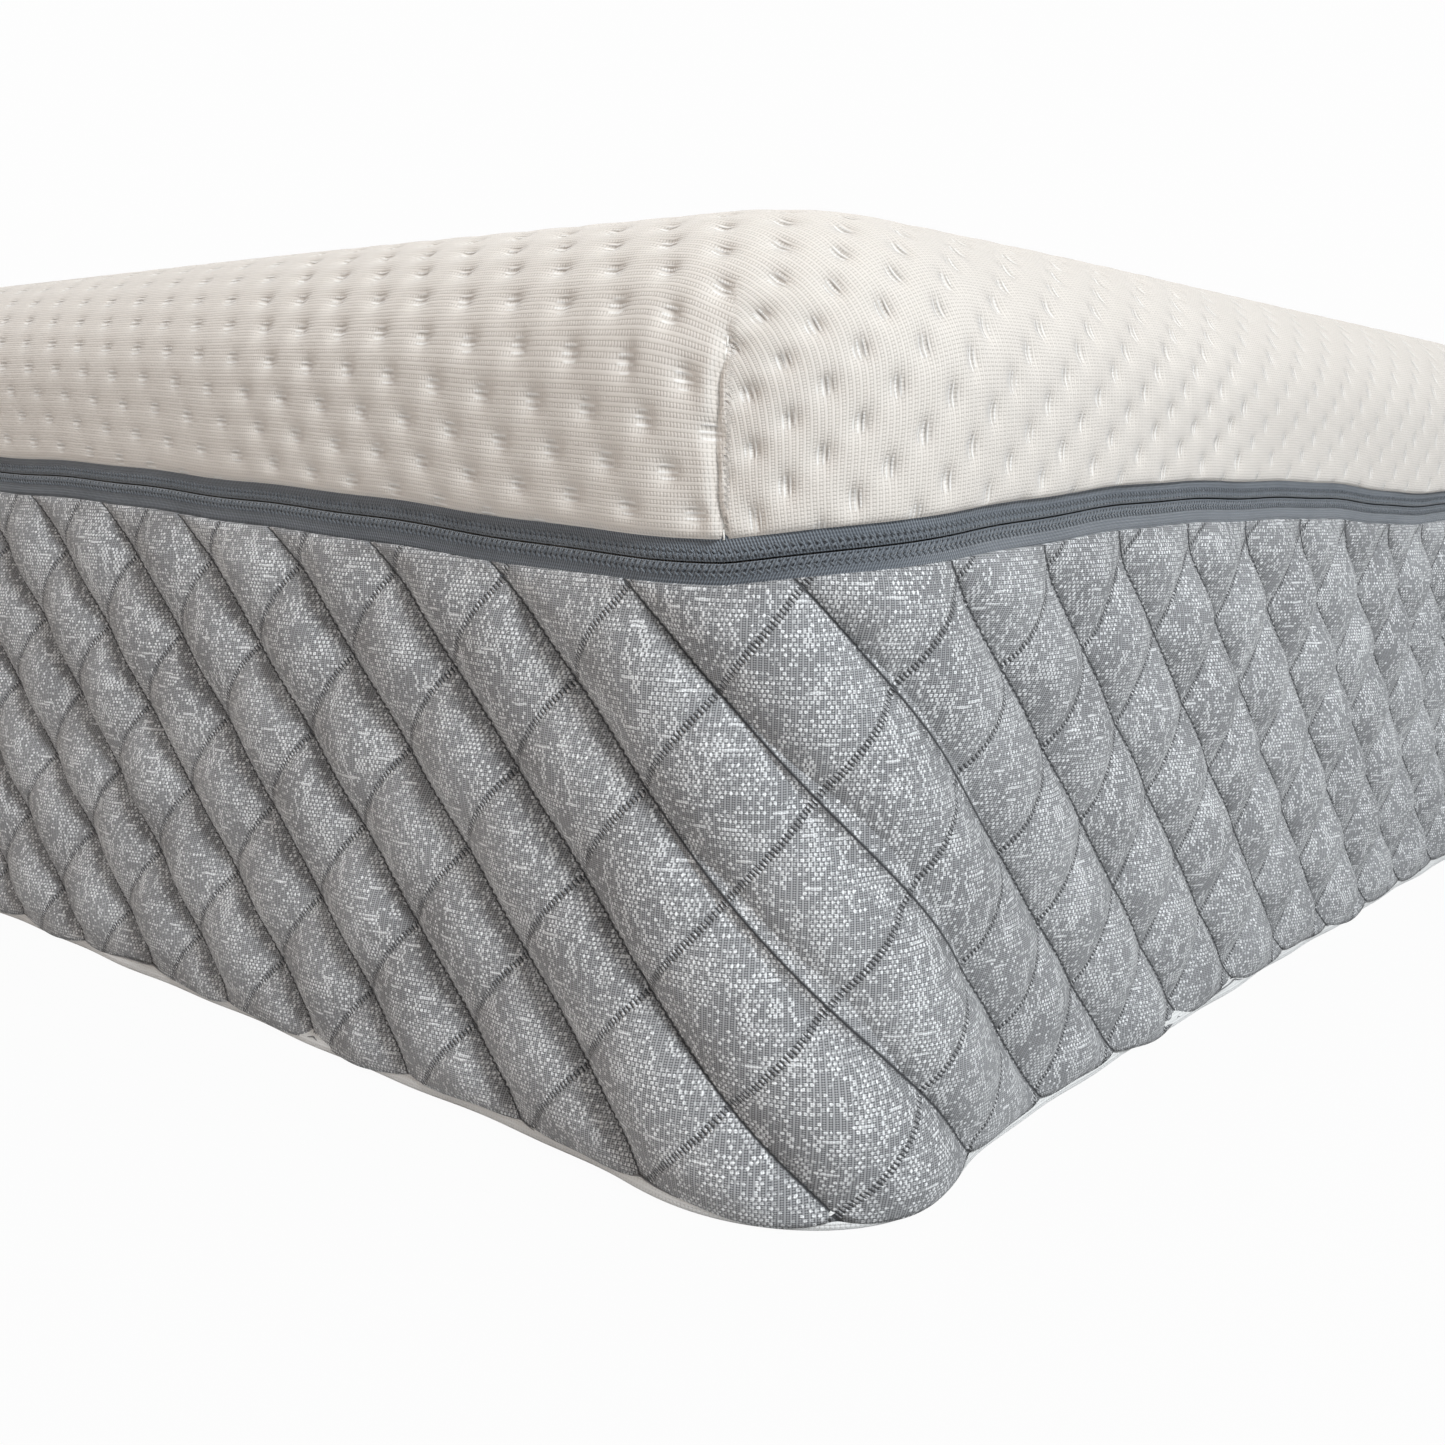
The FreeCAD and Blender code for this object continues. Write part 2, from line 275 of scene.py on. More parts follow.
def wall(s, depth):
    """Plan position and outward direction at distance s along the wall, set in by depth."""
    turn = np.interp(s, stretches, turns)
    x = np.interp(s, stretches, centre_xs) + (plan_radius - depth) * np.cos(turn)
    y = np.interp(s, stretches, centre_ys) + (plan_radius - depth) * np.sin(turn)
    return x, y, np.cos(turn), np.sin(turn)


def make_piece(name, points, faces, uvs, finish):
    """A smooth-shaded mesh object with a UV map in metres, one UV for each face corner."""
    mesh = bpy.data.meshes.new(name)
    mesh.from_pydata(points, [], faces)
    layer = mesh.uv_layers.new(name="cloth")
    layer.data.foreach_set("uv", np.asarray(uvs, np.float32).ravel())
    mesh.materials.append(finish)
    mesh.polygons.foreach_set("use_smooth", np.ones(len(mesh.polygons), bool))
    mesh.update()
    piece = bpy.data.objects.new(name, mesh)
    bpy.context.scene.collection.objects.link(piece)
    return piece


def strip_faces(columns, rows, closed_rows):
    """Quads of a closed ring of columns, each a line of rows from the bottom up."""
    column = np.arange(columns)
    following = (column + 1) % columns
    row = np.arange(rows if closed_rows else rows - 1)
    above = (row + 1) % rows
    quads = np.stack([np.add.outer(column * rows, row), np.add.outer(following * rows, row),
                      np.add.outer(following * rows, above), np.add.outer(column * rows, above)],
                     axis=-1)
    return quads.reshape(-1, 4)


def ring_piece(name, s, depth, z, finish, closed=True, caps=False, v=None):
    """A band round the mattress. depth and z have a row for each s, and a column for each
    point of the section, which goes up the outside and, if closed, back down the inside.
    v is the UV map's second coordinate, or else the distance along the section."""
    x, y, _, _ = wall(s[:, None], depth)
    points = np.stack([x, y, z], axis=-1).reshape(-1, 3)
    columns, rows = depth.shape
    quads = strip_faces(columns, rows, closed)
    if v is None:
        steps = np.hypot(np.diff(depth[0]), np.diff(z[0]))
        v = np.concatenate([[0.0], np.cumsum(steps)])[None, :] + 0.0 * z
    s_ends = np.append(s, s[0] + around)
    i, k = np.meshgrid(np.arange(columns), np.arange(rows if closed else rows - 1), indexing="ij")
    next_i, next_k = (i + 1) % columns, (k + 1) % rows
    uvs = np.stack([np.stack([s_ends[i], v[i, k]], -1), np.stack([s_ends[i + 1], v[next_i, k]], -1),
                    np.stack([s_ends[i + 1], v[next_i, next_k]], -1),
                    np.stack([s_ends[i], v[i, next_k]], -1)], axis=2).reshape(-1, 2)
    faces = [tuple(q) for q in quads.tolist()]
    if caps:
        bottom = (np.arange(columns) * rows)[::-1].tolist()
        top = (np.arange(columns) * rows + rows - 1).tolist()
        for cap in (bottom, top):
            faces.append(tuple(cap))
            uvs = np.concatenate([uvs, points[cap][:, :2]])
    return make_piece(name, points, faces, uvs, finish)


def slab(name, depth, z_low, z_high, low_radius, high_radius, finish):
    """A solid slab with rounded edges."""
    steps = np.linspace(0.0, math.pi / 2.0, 7)
    section_depth = np.concatenate([depth + low_radius * (1 - np.sin(steps)),
                                    np.linspace(depth, depth, 5)[1:-1],
                                    depth + high_radius * (1 - np.cos(steps))])
    section_z = np.concatenate([z_low + low_radius * (1 - np.cos(steps)),
                                np.linspace(z_low + low_radius, z_high - high_radius, 5)[1:-1],
                                z_high - high_radius * (1 - np.sin(steps))])
    s = np.linspace(-around / 2.0, around / 2.0, 400, endpoint=False)
    waver = 0.0004 * np.sin(s * 2.0 * math.pi * 37 / around)[:, None]
    depths = section_depth[None, :] + np.abs(waver)
    heights = np.repeat(section_z[None, :], len(s), 0)
    return ring_piece(name, s, depths, heights, finish, closed=False, caps=True)


foams = {"support_foam_core": (colour(0.62, 0.60, 0.52), colour(0.72, 0.70, 0.62), 0.002),
         "transition_foam_layer": (colour(0.50, 0.62, 0.70), colour(0.60, 0.71, 0.78), 0.002),
         "memory_foam_layer": (colour(0.80, 0.77, 0.66), colour(0.88, 0.85, 0.75), 0.033)}
foam_depth = half_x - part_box("support_foam_core")[1][0]
for node, (dark, light, top_radius) in foams.items():
    low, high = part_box(node)
    foam = slab(node + "_cut", foam_depth + 0.0003, low[2], high[2] - 0.0002, 0.002, top_radius,
                foam_finish(node + "_finish", dark, light))
    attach(foam, "base")
    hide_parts(node)


# Fire barrier.
# A thin rib-knitted sock over the foam, and a non-woven cloth that closes it underneath.
# Like every cloth that wraps the top, the sock is one piece folded down over the sides,
# and its surplus is taken out at one upright line at each corner.

seam_turn = math.radians(25.0)     # from the end wall's outward direction, round the corner
tape_line = 0.176                  # height of the slit between the zipper tapes
tape_lift = 0.0060                 # how much the zipper rises from there on the walls
corner_dip = 0.0168                # how much lower than on the walls it is at a corner's seam


def from_seam(x, y):
    """Distance along the wall from the nearest corner's seam, negative on the ends' side,
    and how far the place is from the head end's straight wall: 0 on it, 1 off its corner."""
    past_x = np.abs(x) - arc_centre_x
    past_y = np.abs(y) - arc_centre_y
    turn = np.arctan2(np.maximum(past_x, 0.0), np.maximum(past_y, 1e-9))
    on_end = past_x <= 0.0
    on_side = (past_y <= 0.0) & ~on_end
    distance = plan_radius * (turn - seam_turn)
    distance = np.where(on_end, -plan_radius * seam_turn + past_x, distance)
    distance = np.where(on_side, plan_radius * (math.pi / 2.0 - seam_turn) - past_y, distance)
    share = np.clip(np.where(on_end, 0.0, np.where(on_side, 1.0, turn / (math.pi / 2.0))), 0, 1)
    clear = np.where(y > 0.0, share * share * (3.0 - 2.0 * share), 1.0)
    return distance, clear


def tape_rise(x, y):
    """How much higher than tape_line the zipper runs: it dips at each corner's seam."""
    distance, clear = from_seam(x, y)
    on_side = tape_lift - corner_dip * np.exp(-(np.maximum(distance, 0.0) / 0.098) ** 1.19)
    on_end = tape_lift - corner_dip * np.exp(-(np.maximum(-distance, 0.0) / 0.229) ** 1.44)
    dip = np.where(distance > 0.0, on_side, on_end)
    sag = 0.0060 * np.exp(-((distance - 0.45) / 0.12) ** 2)
    ripple = 0.0003 * np.sin(distance * 41.0 + 0.6) + 0.0002 * np.sin(distance * 97.0)
    return (dip - sag + ripple) * clear


def fold_lines(reach, straight, fine_side):
    """Positions across a cloth, close together near the end that fine_side gives."""
    half = straight + reach
    fine = np.concatenate([np.arange(0.0, reach, 0.0013), np.arange(reach, 0.28, 0.0024)])
    coarse = np.linspace(fine[-1] + 0.003, 2.0 * half, int((2.0 * half - fine[-1]) / 0.0052))
    lines = np.concatenate([fine, coarse]) - half
    return -lines[::-1] if fine_side > 0 else lines


def fold_over(p, q, depth, edge_radius, top, bottom, hem_dips=1.0):
    """Lays the flat grid of p across and q along over the mattress. Gives the points, their
    outward normals, the cloth's own coordinates as cut for the end and for the side wall,
    the distance down from the fold's start, and the distance from the corner's seam. The
    hem follows the zipper's dips where hem_dips is 1, and is level where it is 0."""
    p, q = np.meshgrid(p, q, indexing="ij")
    past_p = np.abs(p) - arc_centre_x
    past_q = np.abs(q) - arc_centre_y
    down = np.maximum(np.maximum(past_p, past_q), 0.0)
    in_corner = (past_p > 0.0) & (past_q > 0.0)
    share = np.minimum(past_p, past_q) / np.maximum(np.maximum(past_p, past_q), 1e-9)
    corner_turn = np.where(past_q >= past_p, seam_turn * share,
                           math.pi / 2.0 - (math.pi / 2.0 - seam_turn) * share)
    turn = np.where(in_corner, corner_turn, np.where(past_p > past_q, math.pi / 2.0, 0.0))
    away_x = np.sin(turn) * np.sign(p)
    away_y = np.cos(turn) * np.sign(q)
    centre_x = np.clip(p, -arc_centre_x, arc_centre_x)
    centre_y = np.clip(q, -arc_centre_y, arc_centre_y)

    flat = plan_radius - depth - edge_radius
    arc = edge_radius * math.pi / 2.0
    bend = np.clip((down - flat) / edge_radius, 0.0, math.pi / 2.0)
    reach = np.minimum(down, flat) + edge_radius * np.sin(bend)
    foot_x = centre_x + (plan_radius - depth) * away_x
    foot_y = centre_y + (plan_radius - depth) * away_y
    rise = tape_rise(foot_x, foot_y) * hem_dips
    hem = bottom + rise
    drop = np.maximum(down - flat - arc, 0.0)
    full_drop = max(down.max() - flat - arc, 1e-6)
    fallen = drop / full_drop * (top - edge_radius - hem)
    z = top - edge_radius * (1.0 - np.cos(bend)) - fallen
    points = np.stack([centre_x + reach * away_x, centre_y + reach * away_y, z], -1)
    normals = np.stack([np.sin(bend) * away_x, np.sin(bend) * away_y, np.cos(bend)], -1)

    on_wall = np.clip((down - 0.058) / 0.052, 0.0, 1.0)
    on_wall = on_wall * on_wall * (3.0 - 2.0 * on_wall)
    distance, _ = from_seam(foot_x, foot_y)
    length = np.minimum(down, flat + arc) + fallen + 1.2 * rise * on_wall
    pulled = 0.25 * np.maximum(down - 0.06, 0.0) * np.exp(-np.maximum(distance, 0.0) / 0.05)
    flat_x = centre_x + length * away_x
    flat_y = centre_y + length * away_y
    side_sign, end_sign = np.sign(p), np.sign(q)
    end_x = np.where(in_corner, centre_x + side_sign * plan_radius * turn, flat_x)
    end_y = np.where(in_corner, centre_y + end_sign * length, flat_y)
    side_x = np.where(in_corner, centre_x + side_sign * length, flat_x)
    side_y = np.where(in_corner, centre_y + end_sign * plan_radius * (math.pi / 2.0 - turn), flat_y)
    side_y = side_y + end_sign * pulled * (distance > 0.0)
    as_end = np.stack([flat_x + (end_x - flat_x) * on_wall, flat_y + (end_y - flat_y) * on_wall], -1)
    as_side = np.stack([flat_x + (side_x - flat_x) * on_wall,
                        flat_y + (side_y - flat_y) * on_wall], -1)
    seam_distance = np.where(in_corner, plan_radius * (turn - seam_turn), 1.0)
    return points, normals, as_end, as_side, down, seam_distance


def grid_faces(rows, columns):
    """Quads of an open grid whose points run columns first."""
    i, k = np.meshgrid(np.arange(rows - 1), np.arange(columns - 1), indexing="ij")
    first = i * columns + k
    return np.stack([first, first + columns, first + columns + 1, first + 1], -1).reshape(-1, 4)


def folded_cloth(name, depth, edge_radius, top, bottom, step, thickness, finish, hem_dips=1.0):
    """A plain cloth folded over the top, with its thickness inwards."""
    length = plan_radius - depth - edge_radius + edge_radius * math.pi / 2.0
    length += top - edge_radius - bottom
    p = np.linspace(-arc_centre_x - length, arc_centre_x + length, int(2 * half_x / step))
    q = np.linspace(-arc_centre_y - length, arc_centre_y + length, int(2 * half_y / step))
    points, normals, as_end, _, _, _ = fold_over(p, q, depth, edge_radius, top, bottom, hem_dips)
    slack = 0.0003 * np.sin(points[..., 0] * 90.0) * np.sin(points[..., 1] * 70.0)
    points = points + normals * slack[..., None]
    quads = grid_faces(len(p), len(q))
    uvs = as_end.reshape(-1, 2)[quads.ravel()]
    piece = make_piece(name, points.reshape(-1, 3), quads.tolist(), uvs, finish)
    wall_thickness = piece.modifiers.new("thickness", "SOLIDIFY")
    wall_thickness.thickness = thickness
    wall_thickness.offset = -1.0
    return piece


loops, m, given, made = open_group(
    "knit_loops", {"Coordinates": "Vector", "Course": "Float", "Wale": "Float"}, {"Height": "Float"})
split = m.add("ShaderNodeSeparateXYZ", given["Coordinates"])
row = m.calc("DIVIDE", split.outputs[1], given["Course"])
half_row = m.calc("MULTIPLY", m.calc("FLOORED_MODULO", m.calc("FLOOR", row), 2.0), 0.5)
wale = m.calc("ADD", m.calc("DIVIDE", split.outputs[0], given["Wale"]), half_row)
ridge = m.calc("POWER", m.calc("ABSOLUTE", m.calc("SINE", m.calc("MULTIPLY", row, math.pi))), 0.7)
ridge = m.calc("MULTIPLY", ridge, m.calc("MULTIPLY_ADD", half_row, 0.44, 0.78))
loop = m.calc("ABSOLUTE", m.calc("SINE", m.calc("MULTIPLY", wale, math.pi)))
height = m.calc("MULTIPLY", ridge, m.calc("MULTIPLY_ADD", loop, 0.30, 0.32))
column = m.calc("SINE", m.calc("MULTIPLY", m.calc("DIVIDE", split.outputs[0], given["Wale"]), math.pi))
column = m.calc("POWER", m.calc("ABSOLUTE", column), 0.7)
m.put(made["Height"], m.calc("MULTIPLY_ADD", column, 0.42, height))


def plain_knit(name, dark, light, course, wale_width, relief, sheen):
    """A plain knit with small shade differences, and painted shade in the grooves between its loops."""
    finish, w, inputs = open_material(name, 0.92, Sheen_Weight=sheen)
    place = w.add("ShaderNodeUVMap", uv_map="cloth").outputs[0]
    height = w.use(loops, place, course, wale_width).outputs[0]
    shade = w.use(mottle, place, 0.03, dark, light).outputs["Color"]
    # Painted shade: the colour goes to grey where the loops are low, in the grooves between them.
    w.put(inputs["Base Color"], w.blend(w.between(height, 0.0, 0.5), colour(0.5, 0.5, 0.5), shade))
    raise_relief(w, inputs, height, relief)
    return finish


def fibre_finish(name, dark, light):
    """Loose or pressed fibres that lie in all directions."""
    finish, w, inputs = open_material(name, 0.95)
    place = w.add("ShaderNodeTexCoord").outputs["Object"]
    fibres = w.noise(place, 0.0025, 6.0)
    w.put(inputs["Base Color"], w.use(mottle, place, 0.012, dark, light).outputs["Color"])
    raise_relief(w, inputs, fibres, 0.001)
    return finish


barrier_finish = plain_knit("barrier_knit", colour(0.76, 0.75, 0.71), colour(0.84, 0.83, 0.79),
                            course=0.0018, wale_width=0.0022, relief=0.0004, sheen=0.1)
sock_low, sock_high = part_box("fire_barrier_sock")
sock_depth = half_x - sock_high[0]
sock = folded_cloth("barrier_sock", depth=sock_depth, edge_radius=0.0345, top=sock_high[2] - 0.0005,
                    bottom=0.0022, step=0.012, thickness=0.0012, finish=barrier_finish, hem_dips=0.0)
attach(sock, "base")
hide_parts("fire_barrier_sock")

cloth_low, cloth_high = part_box("fire_barrier_base_cloth")
base_cloth = slab("barrier_base_cloth", foam_depth, cloth_low[2], cloth_high[2], 0.0003, 0.0003,
                  fibre_finish("barrier_cloth", colour(0.74, 0.74, 0.72), colour(0.82, 0.82, 0.80)))
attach(base_cloth, "base")
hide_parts("fire_barrier_base_cloth")


# Quilted border.
# Grey two-tone jacquard knit is quilted in diamonds to fibre wadding and a thin backing,
# then sewn round as the side band. Each stitch line pulls the cloth into a crease.

diamonds_around = 119
diamond_width = around / diamonds_around
diamond_height = 0.052
lattice_s = -0.0195                # where a column of diamonds starts, from the corner's middle
lattice_z = 0.1603
lattice_mid = 0.0936               # the height that the lattice leans about
lean_slope = -0.0713
lean_bend = -0.31
skew = 0.0126                      # how far the rows of diamonds wander up and down
puff_high = 0.0030                 # how far a diamond's middle stands out from the outer wall
puff_low = 0.0046                  # how far its stitch lines are set in
line_gap = 1.0 / math.hypot(1.0 / diamond_width, 1.0 / diamond_height)

border_low, border_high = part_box("border_face_cloth")
rim_top = border_low[2]
corner_middles = [0.0, long_run + 2.0 * eighth, -short_run - 2.0 * eighth, around / 2.0]


def border_top(x, y):
    """The border's upper edge follows the zipper, and shows more of its tape on the walls."""
    distance, clear = from_seam(x, y)
    shown = (0.0032 - 0.0022 * np.exp(-(distance / 0.09) ** 2)) * clear
    return border_high[2] + tape_rise(x, y) - shown


def from_corner(s):
    """Distance along the wall from the middle of the nearest corner."""
    gaps = [np.abs((s - middle + around / 2.0) % around - around / 2.0) for middle in corner_middles]
    return np.min(gaps, axis=0)


def lean(z):
    """How far the columns of diamonds stray along the wall at height z."""
    return lean_slope * (z - lattice_mid) + lean_bend * (z - lattice_mid) ** 2


def stitch_lines(s, z):
    """How far each place is from its nearest falling and rising stitch line, as a share of
    half the gap between lines."""
    across = (s - lean(z) - lattice_s) / diamond_width
    up = (z - skew * np.sin(s * 4.0 * math.pi / around) - lattice_z) / diamond_height
    falling = np.abs((across + up) % 1.0 - 0.5) * 2.0
    rising = np.abs((across - up) % 1.0 - 0.5) * 2.0
    return falling, rising


def border_foot(s):
    """Height of the border's lower edge, drawn up where the falling stitch lines end."""
    falling, _ = stitch_lines(s, np.full_like(s, rim_top))
    drawn_up = 0.0022 * np.exp(-falling * 4.0)
    slow = 0.0010 * np.sin(s * 33.0 - 1.6) + 0.0007 * np.sin(s * 71.0 - 2.5)
    slow = slow + 0.0004 * np.sin(s * 163.0)
    return rim_top - 0.0022 + drawn_up + slow


def corner_push(s, z):
    """The corners are fuller near the floor."""
    return 0.0150 * np.exp(-(from_corner(s - 0.013) / 0.042) ** 2 - (z / 0.062) ** 2)


def border_depth(s, z, foot, head):
    """How far the border's surface is set in from the mattress's outer wall."""
    falling, rising = stitch_lines(s, z)
    full = 1.0 - (1.0 - falling) ** 2.3
    across = 1.0 - (1.0 - rising) ** 1.9
    taut = np.clip((from_corner(s) - 0.05) / 0.12, 0.0, 1.0)
    _, _, out_x, _ = wall(s, 0.0)
    share = 0.12 + (0.30 + 0.45 * out_x * out_x) * taut * taut * (3.0 - 2.0 * taut)
    loft = full * (1.0 - share + share * across)
    under_head = np.clip((head - z) / 0.012, 0.0, 1.0) ** 0.7
    over_foot = np.clip((z - foot) / 0.009, 0.0, 1.0) ** 0.7
    middle = puff_low - (puff_low + puff_high) * loft
    uneven = 0.0004 * np.sin(s * 61.0 + z * 40.0) + 0.0003 * np.sin(z * 150.0 - s * 23.0)
    depth = 0.0011 + (middle - 0.0011) * under_head
    depth = (0.0013 + 0.0010 * (1.0 - full)) * (1.0 - over_foot) + depth * over_foot
    return depth + uneven - corner_push(s, z)


near_corner = 10 * diamond_width
fine_s = np.linspace(-near_corner, near_corner, 20 * 34, endpoint=False)
coarse_count = (diamonds_around - 20) * 14
coarse_s = np.linspace(near_corner, around - near_corner, coarse_count, endpoint=False)
border_s = np.sort(np.concatenate([fine_s, (coarse_s + around / 2.0) % around - around / 2.0]))

edge_x, edge_y, _, _ = wall(border_s, 0.0)
foot = border_foot(border_s)[:, None]
head = border_top(edge_x, edge_y)[:, None]
rows_up = np.linspace(0.0, 1.0, 86)[None, :]
face_z = foot + (head - foot) * rows_up
face_depth = border_depth(border_s[:, None] + 0.0 * rows_up, face_z, foot, head)
hem_depth = np.repeat(np.array([[0.0024, 0.0049, 0.0049, 0.0050, 0.0050, 0.0040]]), len(border_s), 0)
hem_depth = hem_depth - corner_push(border_s, 0.0 * border_s)[:, None] * np.array([[0, 0, 0, 0, 1, 1]])
hem_z = np.concatenate([head + 0.0002, head - 0.001, head - 0.009, head - 0.011, foot + 0.006,
                        foot + 0.0008], axis=1)


def border_finish():
    """Jacquard: a mid-grey ground with small pale floats in broken rows and dots, painted shade in the
    gaps of its weave, and a painted shade line along each falling crease.
    """
    dots, g, given, made = open_group("jacquard_floats", {"Coordinates": "Vector"}, {"Float": "Float"})
    across, up = 0.00130, 0.00114
    wander = g.add("ShaderNodeTexNoise", given["Coordinates"])
    wander.inputs["Scale"].default_value = 420.0
    jitter = g.add("ShaderNodeVectorMath", wander.outputs["Color"], (0.5, 0.5, 0.5), operation="SUBTRACT")
    jitter = g.add("ShaderNodeVectorMath", jitter.outputs[0], operation="SCALE")
    jitter.inputs["Scale"].default_value = 0.0010
    moved = g.add("ShaderNodeVectorMath", given["Coordinates"], jitter.outputs[0], operation="ADD")
    split = g.add("ShaderNodeSeparateXYZ", moved.outputs[0])
    row = g.calc("DIVIDE", split.outputs[1], up)
    shift = g.calc("MULTIPLY", g.calc("FLOORED_MODULO", g.calc("FLOOR", row), 2.0), 0.5)
    column = g.calc("ADD", g.calc("DIVIDE", split.outputs[0], across), shift)
    off_x = g.calc("MULTIPLY", g.calc("SUBTRACT", g.calc("FRACT", column), 0.5), across)
    off_y = g.calc("MULTIPLY", g.calc("SUBTRACT", g.calc("FRACT", row), 0.5), up)

    def chance(x, y, seed):
        cell = g.add("ShaderNodeCombineXYZ", g.calc("FLOOR", x), g.calc("FLOOR", y), seed)
        return g.add("ShaderNodeTexWhiteNoise", cell.outputs[0], noise_dimensions="3D").outputs[0]

    patch = g.noise(given["Coordinates"], 0.010, 3.0)
    share = g.add("ShaderNodeMapRange", patch, 0.36, 0.64, 0.30, 0.92).outputs[0]
    present = g.calc("LESS_THAN", chance(column, row, 1.0), share)
    spread = g.calc("SQRT", g.calc("ADD", g.calc("MULTIPLY", off_x, off_x),
                                   g.calc("MULTIPLY", off_y, off_y)))
    dot = g.calc("MULTIPLY", present, g.between(spread, 0.00054, 0.00030))
    dot = g.calc("MULTIPLY", dot, g.calc("MULTIPLY_ADD", chance(column, row, 5.0), 0.70, 0.30))
    upright = g.calc("LESS_THAN", chance(column, g.calc("DIVIDE", row, 4.0), 2.0), 0.10)
    upright = g.calc("MULTIPLY", upright, g.between(g.calc("ABSOLUTE", off_x), 0.00050, 0.00018))
    level = g.calc("LESS_THAN", chance(g.calc("DIVIDE", column, 3.0), row, 3.0), 0.02)
    level = g.calc("MULTIPLY", level, g.between(g.calc("ABSOLUTE", off_y), 0.00050, 0.00018))
    runs = g.calc("MULTIPLY", g.calc("MAXIMUM", upright, level), 0.7)
    g.put(made["Float"], g.calc("MAXIMUM", dot, runs))

    lines, g, given, made = open_group("quilting_lines", {"Coordinates": "Vector"},
                                       {"Falling": "Float", "Rising": "Float", "Pulled": "Float"})
    split = g.add("ShaderNodeSeparateXYZ", given["Coordinates"])
    s, z = split.outputs[0], split.outputs[1]
    raised = g.calc("SUBTRACT", z, lattice_mid)
    leaning = g.calc("MULTIPLY", raised, g.calc("MULTIPLY_ADD", raised, lean_bend, lean_slope))
    wave = g.calc("MULTIPLY", g.calc("SINE", g.calc("MULTIPLY", s, 4.0 * math.pi / around)), skew)
    s_share = g.calc("DIVIDE", g.calc("SUBTRACT", g.calc("SUBTRACT", s, leaning), lattice_s),
                     diamond_width)
    z_share = g.calc("DIVIDE", g.calc("SUBTRACT", g.calc("SUBTRACT", z, wave), lattice_z),
                     diamond_height)
    for label, operation in (("Falling", "ADD"), ("Rising", "SUBTRACT")):
        place = g.calc("FRACT", g.calc(operation, s_share, z_share))
        away = g.calc("MULTIPLY", g.calc("ABSOLUTE", g.calc("SUBTRACT", place, 0.5)), line_gap)
        g.put(made[label], away)
    uneven = g.calc("MULTIPLY", g.noise(given["Coordinates"], 0.002), 0.0006)
    slanted = g.calc("ADD", g.calc("MULTIPLY_ADD", z, 1.2, s), uneven)
    wales = g.calc("SINE", g.calc("MULTIPLY", slanted, 2.0 * math.pi / 0.0018))
    close = g.between(g.calc("ADD", away, g.calc("MULTIPLY", uneven, 0.8)), 0.0015, 0.0010)
    g.put(made["Pulled"], g.calc("MULTIPLY", wales, close))

    finish, w, inputs = open_material("border_jacquard", 0.86, Sheen_Weight=0.10, Sheen_Roughness=0.4)
    place = w.add("ShaderNodeUVMap", uv_map="cloth").outputs[0]
    pale = w.use(dots, place).outputs[0]
    seams = w.use(lines, place)
    split = w.add("ShaderNodeSeparateXYZ", place)
    upright = w.add("ShaderNodeCombineXYZ", split.outputs[1], split.outputs[0], 0.0).outputs[0]
    weave = w.use(loops, upright, 0.00066, 0.00058).outputs[0]
    ground = w.use(mottle, place, 0.05, colour(0.285, 0.287, 0.294), colour(0.385, 0.389, 0.397))
    # Painted shade: the ground goes near-black where the weave is low, in the gaps between its loops.
    shaded = w.blend(w.between(weave, 0.25, 0.80), colour(0.050, 0.052, 0.057), ground.outputs["Color"])
    # Painted shade in the weave's gaps dims the pale floats there too.
    gap_shaded_floats = w.calc("MULTIPLY", pale, w.calc("MULTIPLY_ADD", weave, 0.75, 0.30))
    dotted = w.blend(gap_shaded_floats, shaded, colour(0.97, 0.975, 0.985))
    # Painted shade: a near-black line at the bottom of each falling crease, broken where the wales are
    # pulled.
    crease_shade = w.between(seams.outputs["Falling"], 0.0001, 0.0007)
    crease_shade = w.calc("MULTIPLY", crease_shade, w.between(seams.outputs["Pulled"], 0.80, 0.25))
    w.put(inputs["Base Color"], w.blend(crease_shade, colour(0.045, 0.046, 0.050), dotted))
    fall = w.calc("POWER", w.between(seams.outputs["Falling"], 0.0, 0.0026), 0.5)
    rise = w.calc("POWER", w.between(seams.outputs["Rising"], 0.0, 0.0020), 0.7)
    relief = w.calc("ADD", w.calc("MULTIPLY", fall, 2.4), w.calc("MULTIPLY", rise, 0.7))
    relief = w.calc("ADD", relief, w.calc("MULTIPLY", seams.outputs["Pulled"], -0.5))
    relief = w.calc("ADD", relief, w.calc("MULTIPLY", weave, 0.30))
    relief = w.calc("ADD", relief, w.calc("MULTIPLY", pale, 0.22))
    relief = w.calc("ADD", relief, w.calc("MULTIPLY", w.noise(place, 0.006), 0.8))
    raise_relief(w, inputs, relief, 0.0005)
    return finish


border_z = np.concatenate([face_z, hem_z], 1)
border_set_in = np.concatenate([face_depth, hem_depth], 1)
border = ring_piece("quilted_border", border_s, border_set_in, border_z, border_finish(), v=border_z)
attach(border, "base")
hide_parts("border_face_cloth")

plain_s = np.linspace(-around / 2.0, around / 2.0, 700, endpoint=False)
plain_x, plain_y, _, _ = wall(plain_s, 0.0)


def hidden_band(name, node, low_depth, high_depth, finish):
    """A flat band behind the border's face, from just above the floor to under the tape."""
    low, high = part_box(node)
    top = high[2] + np.minimum(tape_rise(plain_x, plain_y), 0.0)
    z_rows = np.stack([np.full_like(top, low[2]), top * 0.5, top, top, top * 0.5,
                       np.full_like(top, low[2])], 1)
    depth_rows = np.repeat(np.array([[low_depth] * 3 + [high_depth] * 3]), len(plain_s), 0)
    band = ring_piece(name, plain_s, depth_rows, z_rows, finish)
    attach(band, "base")
    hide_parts(node)
    return band


